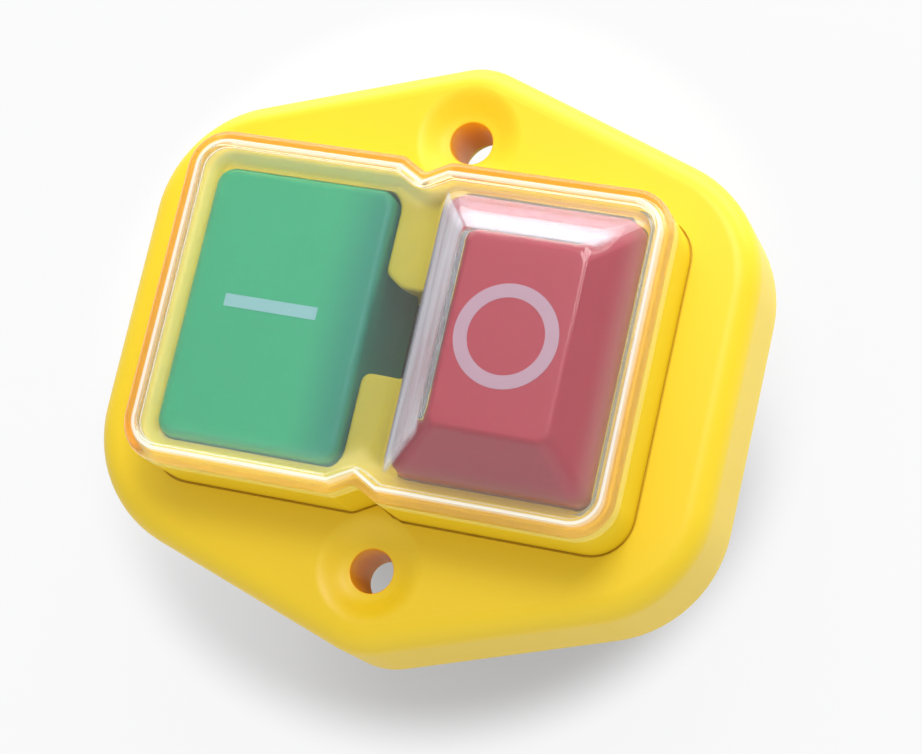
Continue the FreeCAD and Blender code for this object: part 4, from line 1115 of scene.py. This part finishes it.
@dataclass
class StartButton(HollowButton):
    """Flat green button with a bar mark."""

    axis: float = LAYOUT.start_x
    edge: float = 1.2
    bar_x: float = -17.04
    bar_y: float = 0.51
    bar_half_x: float = 6.14
    bar_half_y: float = 0.8
    bar_corner: float = 0.06

    def build(self) -> bpy.types.Object:
        """Model the button.

        Returns:
            The finished piece.
        """
        face = LEVELS.green_face
        shape = self.cap([Bend(0.0, face, self.edge), Bend(self.edge, face)])
        return shape.piece("green_button", GREEN.build())

    def mark(self) -> bpy.types.Object:
        """Lay the bar on the face.

        Returns:
            The finished piece.
        """
        shape = Shape()
        low = LEVELS.green_face - LAYOUT.mark_sunk
        high = LEVELS.green_face + LAYOUT.mark_proud
        bar = rectangle(self.bar_x, self.bar_y, self.bar_half_x, self.bar_half_y, self.bar_corner)
        rings = shape.skin(lambda inset: bar, [(0.0, low), (0.0, high)], 2)
        shape.fill(rings[0])
        shape.fill(rings[1])
        return shape.piece("start_mark", START_PRINT.build())


@dataclass
class StopButton(HollowButton):
    """Bevelled red button under the dome, with a ring mark."""

    axis: float = LAYOUT.stop_x
    corner: float = 1.6
    steps: int = 6
    half_x: float = 12.02
    half_y: float = 17.12
    top_half_x: float = 7.34
    top_half_y: float = 11.75
    ring_outer: float = 6.43
    ring_inner: float = 4.74
    ring_x: float = 15.4
    ring_y: float = 0.06

    def build(self) -> bpy.types.Object:
        """Model the button.

        Returns:
            The finished piece.
        """
        bevel = self.half_x - self.top_half_x
        shape = self.cap([Bend(0.0, LEVELS.rim, 0.8), Bend(bevel, LEVELS.red_face, 0.35),
                          Bend(bevel + 1.0, LEVELS.red_face)])
        return shape.piece("red_button", RED.build())

    def outline(self, inset: float) -> list[Corner]:
        """Outline of the button, moved inward across the bevels."""
        lean = (self.half_y - self.top_half_y) / (self.half_x - self.top_half_x)
        return rectangle(self.axis, 0.0, self.half_x - inset, self.half_y - inset * lean, self.corner)

    def mark(self) -> bpy.types.Object:
        """Lay the ring on the face.

        Returns:
            The finished piece.
        """
        shape = Shape()
        low = LEVELS.red_face - LAYOUT.mark_sunk
        high = LEVELS.red_face + LAYOUT.mark_proud
        shape.turn([(self.ring_inner, low), (self.ring_inner, high), (self.ring_outer, high),
                    (self.ring_outer, low), (self.ring_inner, low)], (self.ring_x, self.ring_y), 96)
        return shape.piece("stop_mark", STOP_PRINT.build())


@dataclass
class CoilSpring:
    """Compression spring, wound at the length of the node that it stands for."""

    node: str
    body: Body
    joint: str
    travel: float
    radius: float = 6.2
    wire: float = 0.45
    turns: int = 6
    held_low: bool = True
    segments: int = 10
    steps_per_turn: int = 24

    def build(self, finish: bpy.types.Material) -> bpy.types.Object:
        """Wind the spring inside the box of the node that it stands for.

        Args:
            finish: material of the wire.

        Returns:
            The spring.
        """
        corners = [Vector(corner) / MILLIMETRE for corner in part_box(self.node)]
        middle = (corners[0] + corners[1]) / 2
        low = corners[0].z
        high = corners[1].z
        shape = Shape()
        start = Matrix.Translation((middle.x + self.radius, middle.y, low + self.wire))
        upright = Matrix.Rotation(math.radians(90.0), 4, "X")
        ring = bmesh.ops.create_circle(shape.bm, segments=self.segments, radius=self.wire,
                                       matrix=start @ upright)["verts"]
        edges = list({edge for vertex in ring for edge in vertex.link_edges})
        steps = self.turns * self.steps_per_turn
        climb = (high - low - 2 * self.wire) / steps
        shape.fill(edges)
        end = bmesh.ops.spin(shape.bm, geom=ring + edges, cent=middle, axis=(0, 0, 1), dvec=(0, 0, climb),
                             angle=2 * math.pi * self.turns, steps=steps)["geom_last"]
        shape.fill([item for item in end if isinstance(item, bmesh.types.BMEdge)])
        spring = shape.piece(self.node + "_coil", finish, 60.0)
        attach(spring, self.body.value)
        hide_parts(self.node)
        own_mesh(spring)
        LOG.info("wound %s: %d faces", spring.name, len(spring.data.polygons))
        return spring


@dataclass
class InnerWorks:
    """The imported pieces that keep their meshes, from the contact housing to the magnet."""

    finishes: dict[str, Any] = field(default_factory=lambda: {
        "black_plastic": BLACK, "grey_nylon": GREY, "natural_nylon": NATURAL, "bobbin_plastic": BOBBIN,
        "magnet_steel": STEEL, "zinc_steel": ZINC, "spring_steel": WIRE, "copper_winding": COPPER,
        "contact_brass": BRASS, "tinned_brass": TINNED, "seal_rubber": SEAL})

    def dress(self, frame: dict[str, Any], replaced: set[str], made: dict[str, bpy.types.Material]) -> None:
        """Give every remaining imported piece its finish.

        Args:
            replaced: nodes that new pieces stand for.
            made: materials that are there already, by slot.
        """
        for entry in frame["record"]["subparts"]:
            name = entry["node"]
            slot = entry["material_slot"]
            if name in replaced:
                continue
            if slot not in made:
                made[slot] = self.finishes[slot].build()
            node = frame["nodes"][name]
            node.data.materials.clear()
            node.data.materials.append(made[slot])
            LOG.info("dressed %s as %s", name, slot)


@dataclass(frozen=True)
class Lamp:
    """Soft rectangular lamp that faces the object, in metres and watts."""

    name: str
    place: tuple[float, float, float]
    width: float
    height: float
    power: float

    def hang(self) -> None:
        """Add the lamp to the scene, out of the camera's sight."""
        data = bpy.data.lights.new(self.name, "AREA")
        data.shape = "RECTANGLE"
        data.size = self.width
        data.size_y = self.height
        data.energy = self.power
        lamp = bpy.data.objects.new(self.name, data)
        lamp.location = self.place
        lamp.visible_camera = False
        lamp.rotation_euler = (-Vector(self.place)).to_track_quat("-Z", "Y").to_euler()
        bpy.context.scene.collection.objects.link(lamp)


LAMPS = (Lamp("top_softbox", (0.10, 0.22, 0.46), 0.22, 0.18, 1.0),
         Lamp("back_wall", (0.0, 0.44, 0.12), 0.8, 0.26, 2.6),
         Lamp("front_fill", (0.05, -0.45, 0.20), 0.8, 0.5, 0.5))


@dataclass
class Studio:
    """Camera, floor, white room and lamps.

    The camera and the floor's height are in metres, and the floor's other sizes in millimetres.
    """

    camera_place: tuple[float, float, float] = (0.10399, -0.06474, 0.32339)
    right: tuple[float, float, float] = (0.94171, 0.22027, -0.25428)
    down: tuple[float, float, float] = (0.15808, -0.95693, -0.24349)
    focal_pixels: float = 2665.47
    image_width: float = 922.0
    sensor_width: float = 36.0
    floor_height: float = -0.0432
    floor_half: float = 1500.0
    floor_colour: Colour = (0.85, 0.85, 0.86)
    floor_white: Colour = (0.955, 0.955, 0.96)
    # Centre and reach of the ring past which painted light lifts the floor to white.
    shadow_x: float = -16.5
    shadow_y: float = 10.3
    shadow_reach: Fade = (48.5, 59.0)
    white_share: float = 0.13
    white_gain: float = 0.8
    sky_light: float = 0.64
    sky_seen: float = 0.955

    def build(self) -> None:
        """Set up the view, the floor and the light."""
        scene = bpy.context.scene
        scene.view_settings.view_transform = "Standard"
        self._camera(scene)
        self._floor()
        self._room(scene)
        for lamp in LAMPS:
            lamp.hang()

    def _camera(self, scene: bpy.types.Scene) -> None:
        """Place the camera where the photograph was taken from.

        Args:
            scene: the scene.
        """
        data = bpy.data.cameras.new("photo_view")
        data.sensor_width = self.sensor_width
        data.lens = self.sensor_width * self.focal_pixels / self.image_width
        data.clip_start = 0.01
        camera = bpy.data.objects.new("photo_view", data)
        right = Vector(self.right)
        up = -Vector(self.down)
        turn = Matrix((right, up, right.cross(up))).transposed()
        camera.matrix_world = Matrix.Translation(self.camera_place) @ turn.to_4x4()
        scene.collection.objects.link(camera)
        scene.camera = camera

    def _floor(self) -> None:
        """Lay a white floor, with painted light that lifts it to white beyond a ring round the object so that
        its real shadow stays close.
        """
        shape = Shape()
        bmesh.ops.create_grid(shape.bm, x_segments=2, y_segments=2, size=self.floor_half)
        graph = Graph("white_floor")
        diffuse = graph.node("ShaderNodeBsdfDiffuse", sockets={"Color": (*self.floor_colour, 1.0)})
        white = graph.node("ShaderNodeEmission", sockets={"Color": (*self.floor_white, 1.0)})
        seen = graph.node("ShaderNodeLightPath", out="Is Camera Ray")
        # Painted light: past a ring round this point the floor is lifted to white, which cuts the real shadow
        # short.
        across = graph.along("X") - self.shadow_x
        along = graph.along("Y") - self.shadow_y
        painted_white = (across * across + along * along).root().rise(*self.shadow_reach)
        share = seen * (painted_white * self.white_gain + self.white_share)
        top = graph.node("ShaderNodeMixShader", sockets={0: share, 1: diffuse, 2: white})
        under = graph.node("ShaderNodeNewGeometry", out="Backfacing")
        nothing = graph.node("ShaderNodeBsdfTransparent")
        surface = graph.node("ShaderNodeMixShader", sockets={0: under, 1: top, 2: nothing})
        floor = shape.piece("floor", graph.finish(surface))
        floor.modifiers.clear()
        floor.location.z = self.floor_height

    def _room(self, scene: bpy.types.Scene) -> None:
        """Surround the object with a soft white room, which looks brighter than it lights.

        Args:
            scene: the scene.
        """
        world = bpy.data.worlds.new("white_room")
        world.use_nodes = True
        tree = world.node_tree
        background = tree.nodes["Background"]
        background.inputs["Color"].default_value = (1.0, 1.0, 1.0, 1.0)
        path = tree.nodes.new("ShaderNodeLightPath")
        strength = tree.nodes.new("ShaderNodeMapRange")
        strength.inputs["To Min"].default_value = self.sky_light
        strength.inputs["To Max"].default_value = self.sky_seen
        tree.links.new(path.outputs["Is Camera Ray"], strength.inputs["Value"])
        tree.links.new(strength.outputs[0], background.inputs["Strength"])
        scene.world = world


def add(piece: bpy.types.Object, body: Body, slot: Slot, *nodes: str) -> None:
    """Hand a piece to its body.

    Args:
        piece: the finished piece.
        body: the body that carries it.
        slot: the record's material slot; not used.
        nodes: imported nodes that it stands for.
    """
    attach(piece, body.value)
    if nodes:
        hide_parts(*nodes)
    LOG.info("made %s: %d faces", piece.name, len(piece.data.polygons))


def main() -> None:
    """Build the switch and its studio in order."""
    logging.basicConfig(level=logging.INFO, format="%(name)s: %(message)s")
    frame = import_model()
    add(FlangeMoulding().build(), Body.HOUSING, Slot.YELLOW, "front_flange")
    add(SoftCover().build(), Body.HOUSING, Slot.CLEAR, "clear_cover")
    start = StartButton()
    add(start.build(), Body.START, Slot.GREEN, "start_button")
    add(start.mark(), Body.START, Slot.GREEN)
    stop = StopButton()
    add(stop.build(), Body.STOP, Slot.RED, "stop_button")
    add(stop.mark(), Body.STOP, Slot.RED)
    wire = WIRE.build()
    springs = [CoilSpring("start_return_spring", Body.HOUSING, "start_press", 4.0),
               CoilSpring("stop_return_spring", Body.HOUSING, "stop_press", 3.5)]
    springs += [CoilSpring(f"contact_spring_{pole}", Body.START, "contact_overtravel", 1.0, radius=1.7,
                           wire=0.25, turns=5, held_low=False) for pole in (1, 2)]
    for spring in springs:
        spring.build(wire)
    replaced = {"front_flange", "clear_cover", "start_button", "stop_button"}
    InnerWorks().dress(frame, replaced | {spring.node for spring in springs}, {Slot.SPRING.value: wire})
    Studio().build()
    bpy.context.view_layer.update()


if __name__ == "__main__":
    main()
